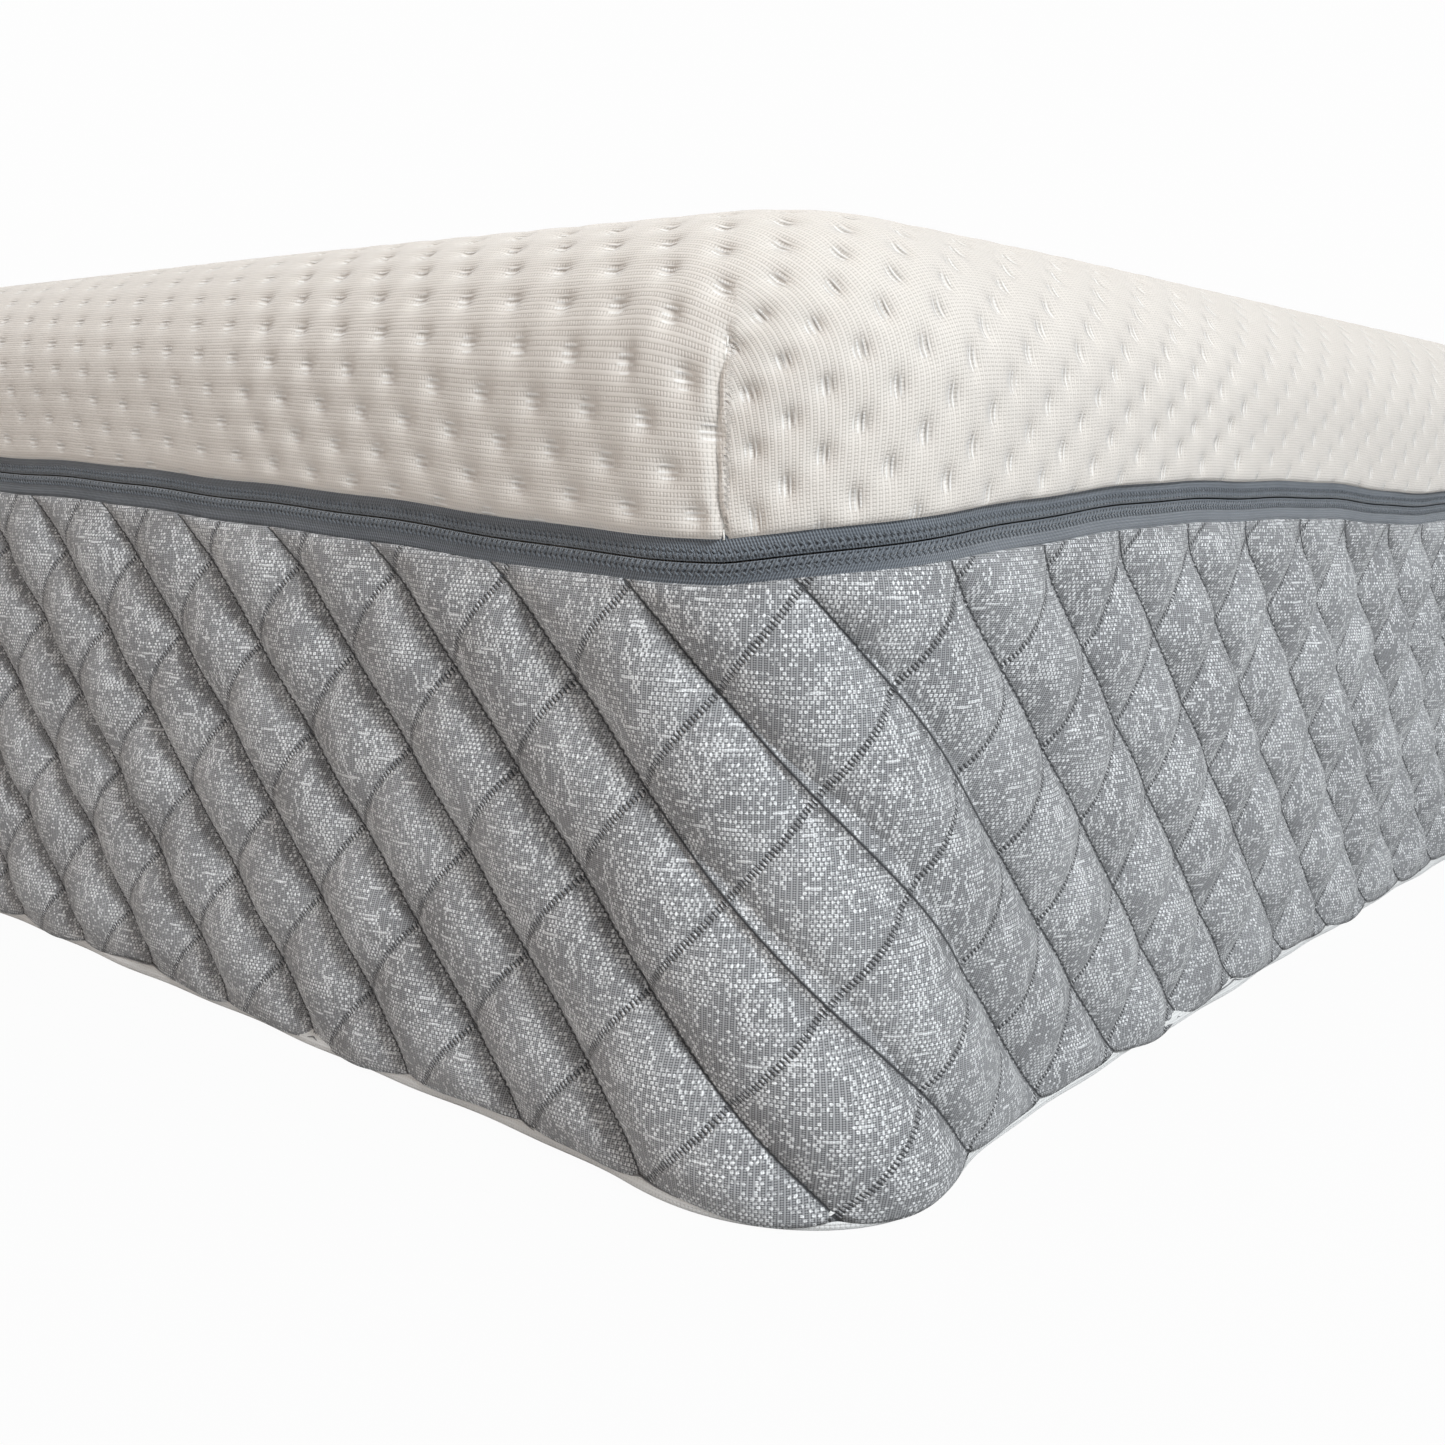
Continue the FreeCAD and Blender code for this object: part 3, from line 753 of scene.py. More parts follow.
wadding_finish = fibre_finish("fibre_wadding", colour(0.80, 0.80, 0.79), colour(0.88, 0.88, 0.87))
scrim_finish = fibre_finish("backing_scrim", colour(0.72, 0.72, 0.72), colour(0.80, 0.80, 0.80))
border_wadding = hidden_band("border_fibre", "border_wadding", 0.0052, 0.0094, wadding_finish)
border_backing = hidden_band("border_scrim", "border_backing", 0.0094, 0.0100, scrim_finish)


# Quilting thread.
# Grey lockstitch thread along both sets of lines, sunk in the creases that it pulls.


def stitching_tree():
    """Short round stitches at even spacing along the lines of a mesh. The lines carry the
    surface's outward direction and the stitches' slant."""
    tree = bpy.data.node_groups.new("stitches_along_lines", "GeometryNodeTree")
    tree.interface.new_socket("Lines", in_out="INPUT", socket_type="NodeSocketGeometry")
    for label in ("Pitch", "Length", "Radius"):
        tree.interface.new_socket(label, in_out="INPUT", socket_type="NodeSocketFloat")
    tree.interface.new_socket("Material", in_out="INPUT", socket_type="NodeSocketMaterial")
    tree.interface.new_socket("Stitches", in_out="OUTPUT", socket_type="NodeSocketGeometry")
    g = Wiring(tree)
    enter = tree.nodes.new("NodeGroupInput").outputs
    leave = tree.nodes.new("NodeGroupOutput").inputs
    curve = g.add("GeometryNodeMeshToCurve", enter["Lines"])
    dotted = g.add("GeometryNodeCurveToPoints", mode="LENGTH")
    g.put(dotted.inputs["Curve"], curve.outputs[0])
    g.put(dotted.inputs["Length"], enter["Pitch"])
    outward = g.add("GeometryNodeInputNamedAttribute", "outward", data_type="FLOAT_VECTOR").outputs[0]
    slant = g.add("GeometryNodeInputNamedAttribute", "slant", data_type="FLOAT").outputs[0]
    ahead = dotted.outputs["Tangent"]
    sideways = g.add("ShaderNodeVectorMath", outward, ahead, operation="CROSS_PRODUCT").outputs[0]
    turned = g.add("ShaderNodeVectorMath", sideways, operation="SCALE")
    g.put(turned.inputs["Scale"], slant)
    along = g.add("ShaderNodeVectorMath", ahead, turned.outputs[0], operation="ADD").outputs[0]
    facing = g.add("FunctionNodeAxesToRotation", along, outward, primary_axis="Z", secondary_axis="X")
    stitch = g.add("GeometryNodeMeshCylinder", fill_type="TRIANGLE_FAN")
    stitch.inputs["Vertices"].default_value = 5
    g.put(stitch.inputs["Radius"], enter["Radius"])
    g.put(stitch.inputs["Depth"], enter["Length"])
    placed = g.add("GeometryNodeInstanceOnPoints", dotted.outputs["Points"])
    g.put(placed.inputs["Instance"], stitch.outputs["Mesh"])
    g.put(placed.inputs["Rotation"], facing.outputs[0])
    real = g.add("GeometryNodeRealizeInstances", placed.outputs[0])
    finished = g.add("GeometryNodeSetMaterial", real.outputs[0])
    g.put(finished.inputs["Material"], enter["Material"])
    g.put(leave["Stitches"], finished.outputs[0])
    return tree


def run_along(name, tree, lines, sizes, finish):
    """Builds a plain mesh from a tree on lines, each a list of points, outward directions
    and slants."""
    points = np.concatenate([line[0] for line in lines])
    outward = np.concatenate([line[1] for line in lines])
    slants = np.concatenate([np.full(len(line[0]), line[2]) for line in lines])
    edges, start = [], 0
    for line in lines:
        count = len(line[0])
        edges.extend((start + k, start + k + 1) for k in range(count - 1))
        start += count
    mesh = bpy.data.meshes.new(name + "_lines")
    mesh.from_pydata(points, edges, [])
    mesh.attributes.new("outward", "FLOAT_VECTOR", "POINT").data.foreach_set(
        "vector", outward.astype(np.float32).ravel())
    mesh.attributes.new("slant", "FLOAT", "POINT").data.foreach_set("value", slants.astype(np.float32))
    guide = bpy.data.objects.new(name, mesh)
    bpy.context.scene.collection.objects.link(guide)
    modifier = guide.modifiers.new("run", "NODES")
    modifier.node_group = tree
    for item in tree.interface.items_tree:
        if item.in_out == "INPUT" and item.name in sizes:
            modifier[item.identifier] = sizes[item.name]
        if item.in_out == "INPUT" and item.name == "Material":
            modifier[item.identifier] = finish
    evaluated = guide.evaluated_get(bpy.context.evaluated_depsgraph_get())
    result = bpy.data.meshes.new_from_object(evaluated)
    guide.modifiers.remove(modifier)
    for leftover in list(result.attributes):
        if leftover.name in ("outward", "slant"):
            result.attributes.remove(leftover)
    guide.data = result
    result.polygons.foreach_set("use_smooth", np.ones(len(result.polygons), bool))
    return guide


def thread_finish(name, dark, light):
    """Twisted polyester thread."""
    finish, w, inputs = open_material(name, 0.6, Sheen_Weight=0.2)
    place = w.add("ShaderNodeTexCoord").outputs["Object"]
    w.put(inputs["Base Color"], w.use(mottle, place, 0.003, dark, light).outputs["Color"])
    raise_relief(w, inputs, w.noise(place, 0.0004), 0.0001)
    return finish


stitches = stitching_tree()
quilting_thread = thread_finish("quilting_thread", colour(0.14, 0.14, 0.15), colour(0.22, 0.22, 0.23))


def quilting_run(column, direction):
    """One stitch line from the border's lower edge to its top."""
    z = np.linspace(rim_top, border_high[2] + 0.007, 60)
    s = np.full_like(z, lattice_s + diamond_width * (column + 0.5))
    for _ in range(4):
        up = (z - skew * np.sin(s * 4.0 * math.pi / around) - lattice_z) / diamond_height
        s = lattice_s + lean(z) + diamond_width * (column + 0.5 - direction * up)
    s = (s + around / 2.0) % around - around / 2.0
    x, y, _, _ = wall(s, 0.0)
    line_foot, line_head = border_foot(s), border_top(x, y)
    kept = (z > line_foot + 0.0015) & (z < line_head - 0.0015)
    depth = border_depth(s, z, line_foot, line_head) + (0.0007 if direction > 0.0 else 0.0012)
    x, y, out_x, out_y = wall(s, depth)
    points = np.stack([x, y, z], 1)
    outward = np.stack([out_x, out_y, np.zeros_like(z)], 1)
    return points[kept], outward[kept], 0.0


for label, direction in (("falling", 1.0), ("rising", -1.0)):
    runs = [quilting_run(column, direction) for column in range(diamonds_around)]
    thread = run_along("quilting_thread_" + label, stitches, runs,
                       {"Pitch": 0.0037, "Length": 0.0029, "Radius": 0.00023}, quilting_thread)
    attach(thread, "base")


# Bottom panel.
# White knitted cloth under the foam. It turns up at its edge, where it shows as a thin
# wavy rim, and a dark lockstitch seam joins it to the border.

bottom_finish = plain_knit("bottom_cloth", colour(0.70, 0.70, 0.69), colour(0.78, 0.78, 0.77),
                           course=0.0010, wale_width=0.0011, relief=0.0003, sheen=0.1)
waver = (0.0005 * np.sin(border_s * 47.0) + 0.0004 * np.sin(border_s * 113.0 + 1.3))[:, None]
rim_depths = np.array([[0.0120, 0.0060, 0.0034, 0.0022, 0.0022, 0.0034, 0.0044, 0.0047, 0.0060, 0.0120]])
rim_heights = np.array([[0.0000, 0.0000, 0.0004, 0.0016, 0.0034, 0.0062, 0.0070, 0.0024, 0.0019, 0.0019]])
bulge = np.array([[0.0, 0.6, 1.0, 1.0, 1.0, 0.5, 0.0, 0.0, 0.0, 0.0]])
pushed = np.array([[0.0, 1.0, 1.0, 1.0, 1.0, 1.0, 1.0, 1.0, 1.0, 0.0]])
rim_push = corner_push(border_s, 0.0 * border_s)[:, None]
bottom = ring_piece("bottom_panel_cloth", border_s, rim_depths + waver * bulge - rim_push * pushed,
                    rim_heights + 0.0 * waver, bottom_finish, closed=False, caps=True)
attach(bottom, "base")
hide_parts("bottom_panel")

seam_angles = np.radians(np.arange(0, 360, 60))[None, :]
seam_mid = border_foot(border_s)[:, None] - 0.0001
seam_set_in = 0.0025 - rim_push + waver
edge_seam = ring_piece("bottom_edge_seam", border_s, seam_set_in - 0.00025 * np.cos(seam_angles),
                       seam_mid + 0.00025 * np.sin(seam_angles),
                       thread_finish("edge_seam_thread", colour(0.13, 0.13, 0.135),
                                     colour(0.22, 0.22, 0.225)))
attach(edge_seam, "base")
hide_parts("bottom_seam_thread")


# Zipper.
# Two slate twill tapes, turned so that the coil is behind them. Each tape has a coil of
# moulded teeth sewn to its edge by two rows of slanted stitches, which show outside.

tape_edges = {"upper": (0.00025, 0.0135), "lower": (-0.0135, -0.00025)}


def tape_set_in(x, y):
    """The tapes lie near the surface, and deeper along the head end for the slider."""
    _, clear = from_seam(x, y)
    return 0.0050 - 0.0033 * clear


def tape_finish():
    """Twill tape: fine slanted ribs with painted shade between them, and two rows of needle holes along
    the coil, painted near-black as painted shade.
    """
    finish, w, inputs = open_material("zipper_tape", 0.72, Sheen_Weight=0.25, Sheen_Roughness=0.4)
    place = w.add("ShaderNodeUVMap", uv_map="cloth").outputs[0]
    split = w.add("ShaderNodeSeparateXYZ", place)
    s, off = split.outputs[0], w.calc("ABSOLUTE", split.outputs[1])
    slanted = w.calc("MULTIPLY_ADD", off, 0.45, s)
    ribs = w.calc("SINE", w.calc("MULTIPLY", slanted, 2.0 * math.pi / 0.00082))
    picks = w.calc("SINE", w.calc("MULTIPLY", off, 2.0 * math.pi / 0.0009))
    weave = w.calc("ADD", w.calc("MULTIPLY", ribs, 0.35), w.calc("MULTIPLY", picks, 0.15))
    holes = 0.0
    for row_place, half_height, start in ((0.00100, 0.00042, 0.0), (0.00225, 0.00050, 0.45)):
        column = w.calc("SINE", w.calc("MULTIPLY_ADD", slanted, 2.0 * math.pi / 0.00195, start))
        away = w.calc("ABSOLUTE", w.calc("SUBTRACT", off, row_place))
        hole = w.calc("MULTIPLY", w.between(column, 0.1, 0.8), w.between(away, half_height, 0.0002))
        holes = w.calc("MAXIMUM", holes, hole)
    cloth = w.use(mottle, place, 0.02, colour(0.150, 0.170, 0.195), colour(0.195, 0.217, 0.245))
    # Painted shade: the colour darkens between the twill ribs.
    shade = w.blend(w.between(weave, -0.45, 0.35), colour(0.060, 0.070, 0.085), cloth.outputs["Color"])
    # Painted shade: the needle holes are painted near-black.
    w.put(inputs["Base Color"], w.blend(holes, shade, colour(0.015, 0.018, 0.024)))
    relief = w.calc("SUBTRACT", weave, w.calc("MULTIPLY", holes, 1.2))
    raise_relief(w, inputs, relief, 0.0003)
    return finish


tape_cloth = tape_finish()
tape_s = np.linspace(-around / 2.0, around / 2.0, 1500, endpoint=False)
tape_x, tape_y, _, _ = wall(tape_s, 0.0)
tape_mid = (tape_line + tape_rise(tape_x, tape_y))[:, None]
tape_depth = tape_set_in(tape_x, tape_y)[:, None]
bodies = {"upper": "top_cover", "lower": "base"}
slate_thread = thread_finish("zipper_thread", colour(0.10, 0.115, 0.133), colour(0.15, 0.168, 0.19))


def tape_run(offset, proud, slant):
    """A line along the chain, offset up from its slit and proud of the tape's face."""
    s = np.linspace(-around / 2.0, around / 2.0, 3200)
    x, y, _, _ = wall(s, 0.0)
    x, y, out_x, out_y = wall(s, tape_set_in(x, y) - proud)
    z = tape_line + tape_rise(x, y) + offset
    return np.stack([x, y, z], 1), np.stack([out_x, out_y, 0.0 * z], 1), slant


for side, (low_edge, high_edge) in tape_edges.items():
    rows_z = np.linspace(low_edge, high_edge, 12)
    section_z = np.concatenate([rows_z, rows_z[::-1]])[None, :]
    near_slit = np.exp(-((np.abs(rows_z) - 0.0015) / 0.0014) ** 2) * 0.0004
    under_edge = np.clip((np.abs(rows_z) - 0.0070) / 0.0040, 0.0, 1.0) * 0.0034
    face = under_edge - near_slit
    section_depth = np.concatenate([face, 0.0006 + face[::-1]])[None, :]
    tape = ring_piece("zipper_tape_" + side + "_woven", tape_s, tape_depth + section_depth,
                      tape_mid + section_z, tape_cloth, v=section_z + 0.0 * tape_mid)
    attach(tape, bodies[side])
    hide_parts("zipper_tape_" + side)
    sign = 1.0 if side == "upper" else -1.0
    rows = [tape_run(sign * 0.0016, 0.00036, 0.8), tape_run(sign * 0.0029, 0.00030, -0.8)]
    sewn = run_along("coil_stitching_" + side, stitches, rows,
                     {"Pitch": 0.00195, "Length": 0.0015, "Radius": 0.00024}, slate_thread)
    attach(sewn, bodies[side])
    hem_row = [tape_run(sign * 0.0100, -0.0010, 0.0)]
    hem_seam = run_along("hem_stitching_" + side, stitches, hem_row,
                         {"Pitch": 0.0040, "Length": 0.0032, "Radius": 0.00022}, slate_thread)
    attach(hem_seam, bodies[side])
    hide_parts("tape_stitching_" + side)


def teeth_tree():
    """Coil turns at even spacing: a bar across the tape's edge with a rounded head."""
    tree = bpy.data.node_groups.new("zipper_teeth", "GeometryNodeTree")
    tree.interface.new_socket("Lines", in_out="INPUT", socket_type="NodeSocketGeometry")
    for label in ("Pitch", "Bar Length", "Bar Radius", "Head Radius", "Reach"):
        tree.interface.new_socket(label, in_out="INPUT", socket_type="NodeSocketFloat")
    tree.interface.new_socket("Material", in_out="INPUT", socket_type="NodeSocketMaterial")
    tree.interface.new_socket("Teeth", in_out="OUTPUT", socket_type="NodeSocketGeometry")
    g = Wiring(tree)
    enter = tree.nodes.new("NodeGroupInput").outputs
    leave = tree.nodes.new("NodeGroupOutput").inputs
    curve = g.add("GeometryNodeMeshToCurve", enter["Lines"])
    dotted = g.add("GeometryNodeCurveToPoints", mode="LENGTH")
    g.put(dotted.inputs["Curve"], curve.outputs[0])
    g.put(dotted.inputs["Length"], enter["Pitch"])
    outward = g.add("GeometryNodeInputNamedAttribute", "outward", data_type="FLOAT_VECTOR").outputs[0]
    facing = g.add("FunctionNodeAxesToRotation", outward, dotted.outputs["Tangent"],
                   primary_axis="X", secondary_axis="Y")
    bar = g.add("GeometryNodeMeshCylinder", fill_type="NONE")
    bar.inputs["Vertices"].default_value = 5
    g.put(bar.inputs["Radius"], enter["Bar Radius"])
    g.put(bar.inputs["Depth"], enter["Bar Length"])
    ball = g.add("GeometryNodeMeshIcoSphere", enter["Head Radius"], 1)
    reach = g.add("ShaderNodeCombineXYZ", 0.0, 0.0, enter["Reach"])
    moved = g.add("GeometryNodeTransform", ball.outputs["Mesh"])
    g.put(moved.inputs["Translation"], reach.outputs[0])
    tooth = g.add("GeometryNodeJoinGeometry")
    tree.links.new(bar.outputs["Mesh"], tooth.inputs[0])
    tree.links.new(moved.outputs[0], tooth.inputs[0])
    placed = g.add("GeometryNodeInstanceOnPoints", dotted.outputs["Points"])
    g.put(placed.inputs["Instance"], tooth.outputs[0])
    g.put(placed.inputs["Rotation"], facing.outputs[0])
    real = g.add("GeometryNodeRealizeInstances", placed.outputs[0])
    finished = g.add("GeometryNodeSetMaterial", real.outputs[0])
    g.put(finished.inputs["Material"], enter["Material"])
    g.put(leave["Teeth"], finished.outputs[0])
    return tree


coil_finish, w, inputs = open_material("coil_polyester", 0.45)
place = w.add("ShaderNodeTexCoord").outputs["Object"]
w.put(inputs["Base Color"], w.use(mottle, place, 0.004, colour(0.05, 0.06, 0.075),
                                  colour(0.08, 0.10, 0.12)).outputs["Color"])
raise_relief(w, inputs, w.noise(place, 0.001), 0.0001)
teeth = teeth_tree()
park_x = (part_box("slider_body")[0][0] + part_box("slider_body")[1][0]) / 2.0


def coil_runs(offset, phase):
    """The chain behind the tapes, left out where the slider is stored."""
    points, outward, _ = tape_run(offset, -0.0018, 0.0)
    stored = (points[:, 1] > arc_centre_y) & (points[:, 0] > park_x - 0.0075)
    stored = stored & (points[:, 0] < park_x + 0.012)
    gap = np.flatnonzero(stored)
    before, after = slice(phase, gap[0]), slice(gap[-1] + 1, len(points))
    return [(points[part], outward[part], 0.0) for part in (before, after)]


for side, sign in (("upper", 1.0), ("lower", -1.0)):
    coil = run_along("zipper_teeth_" + side, teeth, coil_runs(sign * 0.0016, 0),
                     {"Pitch": 0.00195, "Bar Length": 0.0016, "Bar Radius": 0.00042,
                      "Head Radius": 0.00045, "Reach": -sign * 0.00045}, coil_finish)
    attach(coil, bodies[side])
    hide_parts("zipper_coil_" + side)


# Slider, pull tab and end stops.
# Die-cast slider with a painted finish that is rubbed bright on its edges, and bent
# aluminium stops clipped over the tapes.

rubbed, m, given, made = open_group("rubbed_edges", {"Coordinates": "Vector"},
                                    {"Mask": "Float", "Roughness": "Float"})
edge = m.add("ShaderNodeNewGeometry").outputs["Pointiness"]
scuffs = m.noise(given["Coordinates"], 0.002, 4.0)
m.put(made["Mask"], m.calc("MULTIPLY", m.between(edge, 0.52, 0.60), m.between(scuffs, 0.35, 0.6)))
m.put(made["Roughness"], m.calc("MULTIPLY_ADD", scuffs, 0.25, 0.3))


def metal_finish(name, painted, bare, metallic):
    finish, w, inputs = open_material(name, 0.4)
    place = w.add("ShaderNodeTexCoord").outputs["Object"]
    wear = w.use(rubbed, place)
    w.put(inputs["Base Color"], w.blend(wear.outputs["Mask"], painted, bare))
    w.put(inputs["Metallic"], w.calc("MAXIMUM", wear.outputs["Mask"], metallic))
    w.put(inputs["Roughness"], wear.outputs["Roughness"])
    raise_relief(w, inputs, w.noise(place, 0.0008), 0.00004)
    return finish


slider_finish = metal_finish("slider_paint", colour(0.07, 0.085, 0.105), colour(0.55, 0.55, 0.56), 0.1)
stop_finish = metal_finish("stop_metal", colour(0.45, 0.46, 0.47), colour(0.62, 0.62, 0.63), 1.0)
for node, finish in {"slider_body": slider_finish, "slider_bail": slider_finish,
                     "pull_tab": slider_finish, "zipper_stop_upper": stop_finish,
                     "zipper_stop_lower": stop_finish}.items():
    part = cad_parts[node]
    part.data.materials.clear()
    part.data.materials.append(finish)


# Top cover.
# White bubble knit, a double cloth whose two layers are tied together at staggered
# points, so that it puffs up between small dimples. Behind it are fibre wadding and scrim.

tie_turn = math.radians(35.3)      # the ties lie on a grid turned on the cloth
tie_along = 0.0153
tie_across = 0.0121
tie_x = 0.4391                     # where one tie of the grid lies
tie_y = -0.9693


def dimples(u, v):
    """How deep the cloth is tied down, from 0 to 1, and a wider hollow round each tie."""
    cos, sin = math.cos(tie_turn), math.sin(tie_turn)
    along = (u - tie_x) * cos + (v - tie_y) * sin
    across = (u - tie_x) * sin - (v - tie_y) * cos
    along = (along / tie_along + 0.5) % 1.0 * tie_along - tie_along / 2.0
    across = (across / tie_across + 0.5) % 1.0 * tie_across - tie_across / 2.0
    off_u, off_v = along * cos + across * sin, along * sin - across * cos
    tight = np.exp(-(off_u / 0.0030) ** 2 - (off_v / 0.0018) ** 2)
    wide = np.exp(-(off_u / 0.0042) ** 2 - (off_v / 0.0036) ** 2)
    return tight, wide


def seam_bow(z, hem):
    """The corner seam bows a little towards the end wall between its top and the hem."""
    share = np.clip((z - hem) / (0.221 - hem), 0.0, 1.0)
    return -0.0024 * np.sin(share * math.pi) + 0.0003 * np.sin(share * 23.0)


cover_low, cover_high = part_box("top_cover_knit")
cover_top = cover_high[2]
edge_radius = 0.045
cover_length = plan_radius - edge_radius + edge_radius * math.pi / 2.0
cover_length += cover_top - edge_radius - cover_low[2]
across_lines = fold_lines(cover_length, arc_centre_x, 1)
along_lines = fold_lines(cover_length, arc_centre_y, -1)
points, normals, as_end, as_side, fold_length, seam_off = fold_over(
    across_lines, along_lines, 0.0, edge_radius, cover_top, cover_low[2])

end_pits = dimples(as_end[..., 0], as_end[..., 1])
side_pits = dimples(as_side[..., 0], as_side[..., 1])
on_end_side = seam_off < 0.0
tight = np.where(on_end_side, end_pits[0], side_pits[0])
wide = np.where(on_end_side, end_pits[1], side_pits[1])
height_above_hem = points[..., 2] - (cover_low[2] + tape_rise(points[..., 0], points[..., 1]))
seam_start = np.clip((fold_length - 0.0735) / 0.010, 0.0, 1.0)
seam_line = seam_bow(points[..., 2], points[..., 2] - height_above_hem)
groove = np.exp(-((seam_off - seam_line) / 0.0010) ** 2) * seam_start
lip = np.exp(-((seam_off - seam_line + 0.0030) / 0.0022) ** 2) * seam_start
dip = np.exp(-((seam_off - seam_line - 0.0050) / 0.0050) ** 2) * seam_start
hem_hold = np.exp(-np.clip(height_above_hem, 0.0, None) / 0.0030)
spacing = np.maximum.outer(np.gradient(across_lines), np.gradient(along_lines))
shaped = np.clip((0.0062 - spacing) / 0.0032, 0.0, 1.0)     # the far cloth is less finely divided
relief = 0.0005 - (0.0011 * wide + 0.0006 * tight) * shaped
relief = relief * (1.0 - 0.7 * groove) * (1.0 - 0.8 * hem_hold)
relief = relief - 0.0015 * groove + 0.0006 * lip - 0.0006 * dip - 0.0010 * hem_hold ** 3
slow = 0.0009 * np.sin(points[..., 0] * 19.0 + 1.0) * np.sin(points[..., 1] * 17.0)
bulge = 0.0008 * np.sin(np.clip(height_above_hem / 0.05, 0.0, 1.0) * math.pi)
corner_gap = np.hypot(half_x - np.abs(points[..., 0]), half_y - np.abs(points[..., 1]))
droop = 0.0016 * np.exp(-(corner_gap / 0.12) ** 2) * normals[..., 2]
points = points + normals * (relief + slow + bulge - droop)[..., None]

rows, columns = points.shape[:2]
skin_points = points.reshape(-1, 3)
skin_quads = grid_faces(rows, columns)
quad_side = seam_off.reshape(-1)[skin_quads]
end_face = (quad_side < -1e-9).any(axis=1)
end_uv = as_end.reshape(-1, 2)[skin_quads]
side_uv = as_side.reshape(-1, 2)[skin_quads]
skin_uv = np.where(end_face[:, None, None], end_uv, side_uv)

# The hem is turned in behind the tape, and the inside is closed by a smooth lining.
index = np.arange(rows * columns).reshape(rows, columns)
rim = np.concatenate([index[:-1, 0], index[-1, :-1], index[:0:-1, -1], index[0, :0:-1]])
rim_points = skin_points[rim]
rim_x, rim_y = rim_points[:, 0], rim_points[:, 1]
centre_x = np.clip(rim_x, -arc_centre_x, arc_centre_x)
centre_y = np.clip(rim_y, -arc_centre_y, arc_centre_y)
out_x, out_y = rim_x - centre_x, rim_y - centre_y
length = np.hypot(out_x, out_y)
out_x, out_y = out_x / length, out_y / length
hem_height = cover_low[2] + tape_rise(rim_x, rim_y)
turned_in = [(0.0030, hem_height - 0.0003), (0.0046, hem_height + 0.0004), (0.0049, hem_height + 0.0080),
             (0.0044, hem_height + 0.0090), (0.0044, np.full_like(rim_x, cover_top - edge_radius))]
for bend in np.linspace(0.0, math.pi / 2.0, 7)[1:]:
    inner_radius = edge_radius - 0.0044
    turned_in.append((0.0044 + inner_radius * (1.0 - math.cos(bend)),
                      np.full_like(rim_x, cover_top - edge_radius + inner_radius * math.sin(bend))))
lining, lining_faces = [skin_points], []
previous = rim
for step, (depth, z) in enumerate(turned_in):
    reach = plan_radius - depth
    ring = np.stack([centre_x + out_x * reach, centre_y + out_y * reach, z], 1)
    current = len(skin_points) + step * len(rim) + np.arange(len(rim))
    lining.append(ring)
    quads = np.stack([previous, np.roll(previous, -1), np.roll(current, -1), current], 1)
    lining_faces.append(quads[:, ::-1])
    previous = current
cover_points = np.concatenate(lining)
lining_quads = np.concatenate(lining_faces)
lid = previous.tolist()[::-1]
flat_uv = cover_points[:, :2]
cover_faces = skin_quads.tolist() + lining_quads.tolist() + [lid]
cover_uv = np.concatenate([skin_uv.reshape(-1, 2), flat_uv[lining_quads.ravel()], flat_uv[lid]])


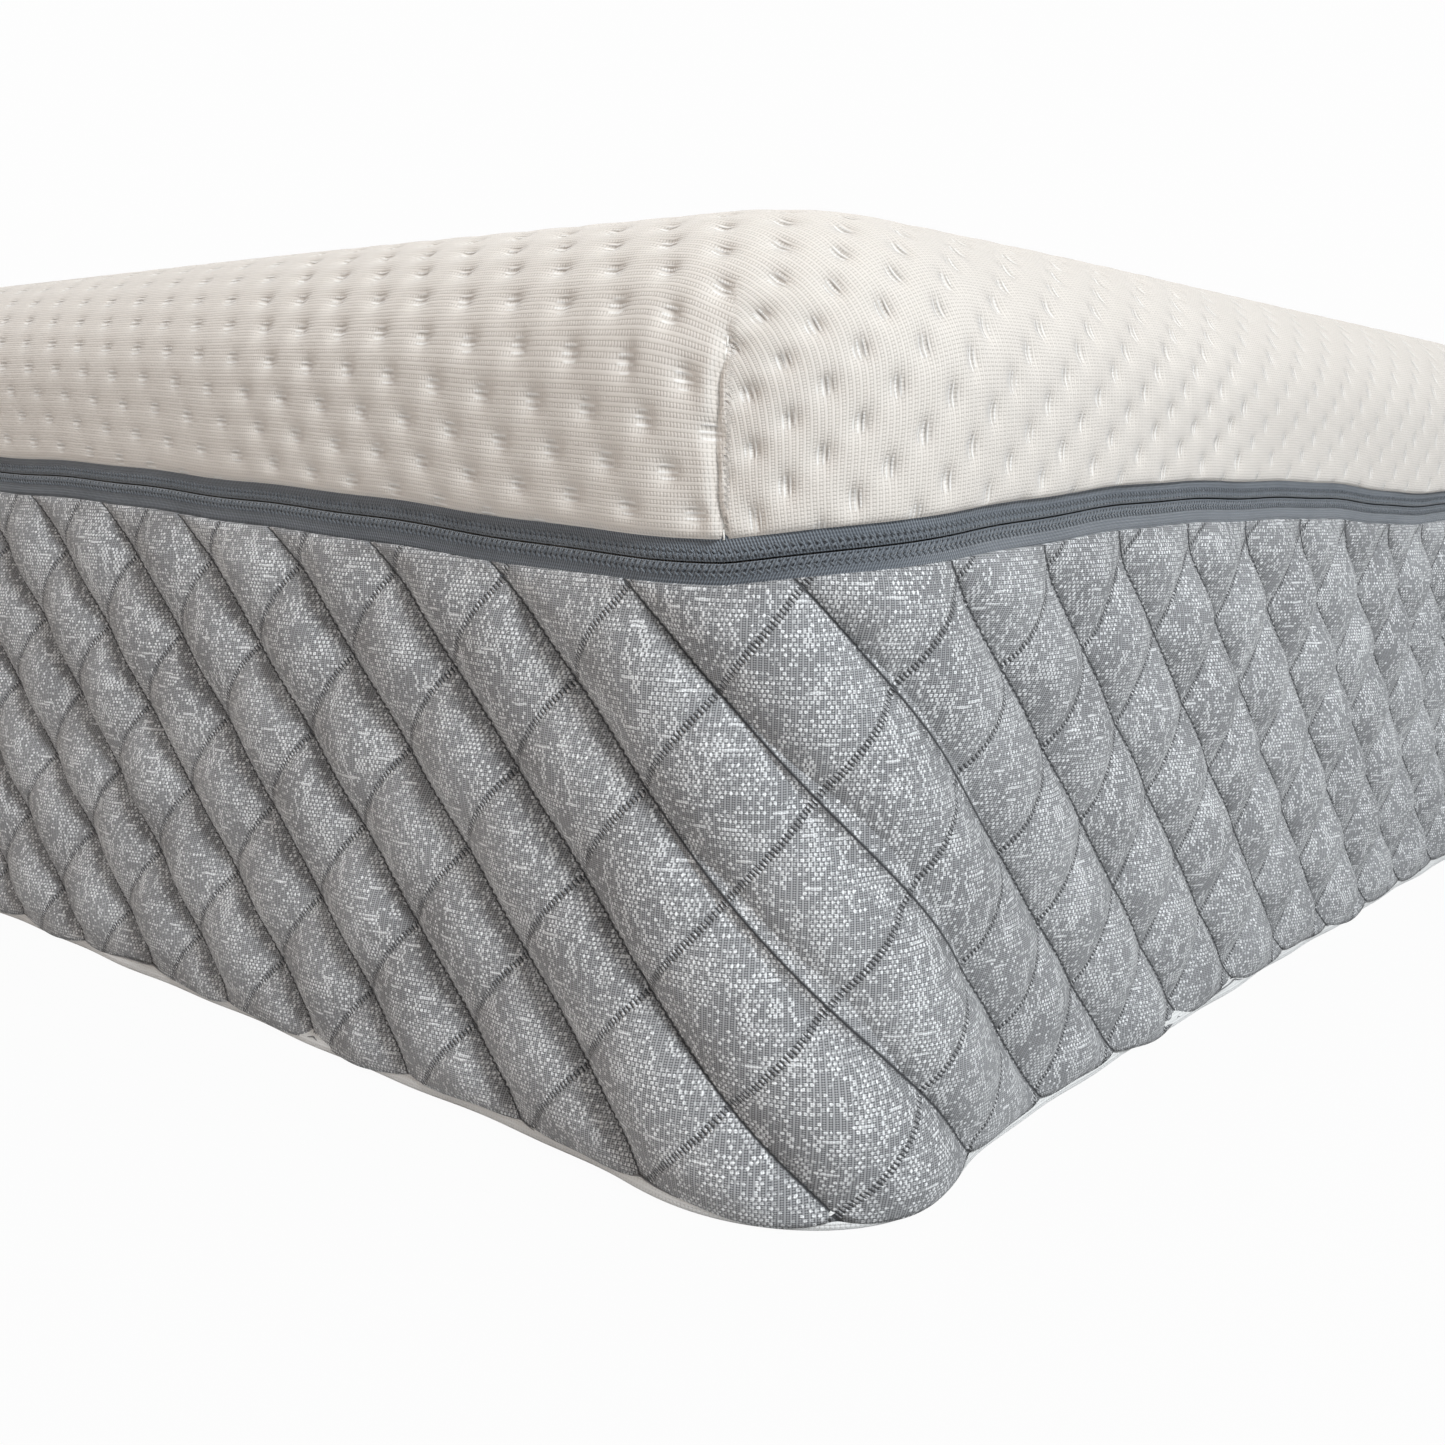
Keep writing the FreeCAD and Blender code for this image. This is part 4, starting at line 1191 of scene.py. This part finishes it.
def cover_finish():
    """Off-white knit with fine ribs, tied down at the dimples with a few drawn loops. Painted shade
    darkens it between its loops and between the drawn loops, and a painted highlight lightens the drawn
    loops.
    """
    ties, g, given, made = open_group("tie_points", {"Coordinates": "Vector"},
                                      {"Tight": "Float", "Wide": "Float"})
    split = g.add("ShaderNodeSeparateXYZ", given["Coordinates"])
    drift = g.calc("MULTIPLY", g.calc("SUBTRACT", g.noise(given["Coordinates"], 0.03), 0.5), 0.0016)
    cos, sin = math.cos(tie_turn), math.sin(tie_turn)
    x = g.calc("ADD", g.calc("SUBTRACT", split.outputs[0], tie_x), drift)
    y = g.calc("ADD", g.calc("SUBTRACT", split.outputs[1], tie_y), drift)
    along = g.calc("ADD", g.calc("MULTIPLY", x, cos), g.calc("MULTIPLY", y, sin))
    across = g.calc("SUBTRACT", g.calc("MULTIPLY", x, sin), g.calc("MULTIPLY", y, cos))
    along = g.calc("WRAP", along, tie_along / 2.0, -tie_along / 2.0)
    across = g.calc("WRAP", across, tie_across / 2.0, -tie_across / 2.0)
    x = g.calc("ADD", g.calc("MULTIPLY", along, cos), g.calc("MULTIPLY", across, sin))
    y = g.calc("SUBTRACT", g.calc("MULTIPLY", along, sin), g.calc("MULTIPLY", across, cos))
    for label, size_x, size_y in (("Tight", 0.0022, 0.0012), ("Wide", 0.0034, 0.0028)):
        far_x = g.calc("POWER", g.calc("ABSOLUTE", g.calc("DIVIDE", x, size_x)), 2.0)
        far_y = g.calc("POWER", g.calc("ABSOLUTE", g.calc("DIVIDE", y, size_y)), 2.0)
        hollow = g.calc("EXPONENT", g.calc("MULTIPLY", g.calc("ADD", far_x, far_y), -1.0))
        g.put(made[label], hollow)

    finish, w, inputs = open_material("cover_knit", 0.88, Sheen_Weight=0.25, Sheen_Roughness=0.5)
    place = w.add("ShaderNodeUVMap", uv_map="cloth").outputs[0]
    tied = w.use(ties, place)
    knit = w.use(loops, place, 0.00092, 0.00094).outputs[0]
    split = w.add("ShaderNodeSeparateXYZ", place)
    drawn = w.calc("SINE", w.calc("MULTIPLY", split.outputs[1], 2.0 * math.pi / 0.0015))
    drawn = w.calc("MULTIPLY", drawn, w.between(tied.outputs["Wide"], 0.30, 0.75))
    cloth = w.use(mottle, place, 0.06, colour(0.660, 0.613, 0.566), colour(0.684, 0.638, 0.590))
    # Painted shade: the colour darkens where the knit's loops are low, between them.
    shade = w.blend(w.between(knit, 0.10, 0.75), colour(0.47, 0.432, 0.390), cloth.outputs["Color"])
    # Painted highlight: pale strokes on the drawn loops round each tie.
    drawn_highlight = w.calc("MULTIPLY", w.between(drawn, 0.1, 0.7), 0.50)
    highlighted = w.blend(drawn_highlight, shade, colour(0.90, 0.89, 0.87))
    # Painted shade: darker strokes between the drawn loops round each tie.
    pit_shade = w.calc("MULTIPLY", w.between(drawn, -0.1, -0.7), 0.14)
    w.put(inputs["Base Color"], w.blend(pit_shade, highlighted, colour(0.44, 0.41, 0.37)))
    relief = w.calc("MULTIPLY", knit, 0.42)
    relief = w.calc("ADD", relief, w.calc("MULTIPLY", tied.outputs["Tight"], -0.9))
    relief = w.calc("ADD", relief, w.calc("MULTIPLY", tied.outputs["Wide"], -1.8))
    relief = w.calc("ADD", relief, w.calc("MULTIPLY", drawn, 0.22))
    relief = w.calc("ADD", relief, w.calc("MULTIPLY", w.noise(place, 0.008), 0.6))
    raise_relief(w, inputs, relief, 0.0005)
    return finish


cover = make_piece("bubble_knit_cover", cover_points, cover_faces, cover_uv, cover_finish())
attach(cover, "top_cover")
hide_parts("top_cover_knit")

cover_fibre = folded_cloth("cover_fibre", depth=0.0046, edge_radius=0.0404, top=cover_top - 0.0046,
                           bottom=0.191, step=0.020, thickness=0.0033, finish=wadding_finish)
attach(cover_fibre, "top_cover")
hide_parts("top_cover_wadding")
backing_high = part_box("top_cover_backing")[1]
cover_scrim = folded_cloth("cover_scrim", depth=half_x - backing_high[0], edge_radius=0.037,
                           top=backing_high[2] - 0.0001, bottom=0.191, step=0.020,
                           thickness=0.0004, finish=scrim_finish)
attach(cover_scrim, "top_cover")
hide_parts("top_cover_backing")


# Corner seams.
# Off-white lockstitch down each corner of the cover, at the bottom of its crease.

seam_thread = thread_finish("cover_thread", colour(0.80, 0.77, 0.72), colour(0.88, 0.86, 0.82))
seam_nodes = {"corner_seam_foot_right": (1, -1), "corner_seam_foot_left": (-1, -1),
              "corner_seam_head_right": (1, 1), "corner_seam_head_left": (-1, 1)}
for node, (side_x, side_y) in seam_nodes.items():
    low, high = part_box(node)
    out_x, out_y = side_x * math.sin(seam_turn), side_y * math.cos(seam_turn)
    hem = float(cover_low[2] + tape_rise(side_x * arc_centre_x + out_x * plan_radius,
                                         side_y * arc_centre_y + out_y * plan_radius))
    z = np.linspace(hem + 0.001, 0.2205, 40)
    over = np.clip((z - (cover_top - edge_radius)) / edge_radius, 0.0, 1.0)
    away = plan_radius - 0.0014 - edge_radius * (1.0 - np.sqrt(1.0 - over * over))
    turn = seam_turn + seam_bow(z, hem) / plan_radius
    x = side_x * (arc_centre_x + away * np.sin(turn))
    y = side_y * (arc_centre_y + away * np.cos(turn))
    outward = np.tile([out_x, out_y, 0.0], (len(z), 1))
    seam = run_along(node + "_thread", stitches, [(np.stack([x, y, z], 1), outward, 0.0)],
                     {"Pitch": 0.0030, "Length": 0.0025, "Radius": 0.00025}, seam_thread)
    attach(seam, "top_cover")
    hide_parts(node)


low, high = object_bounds()
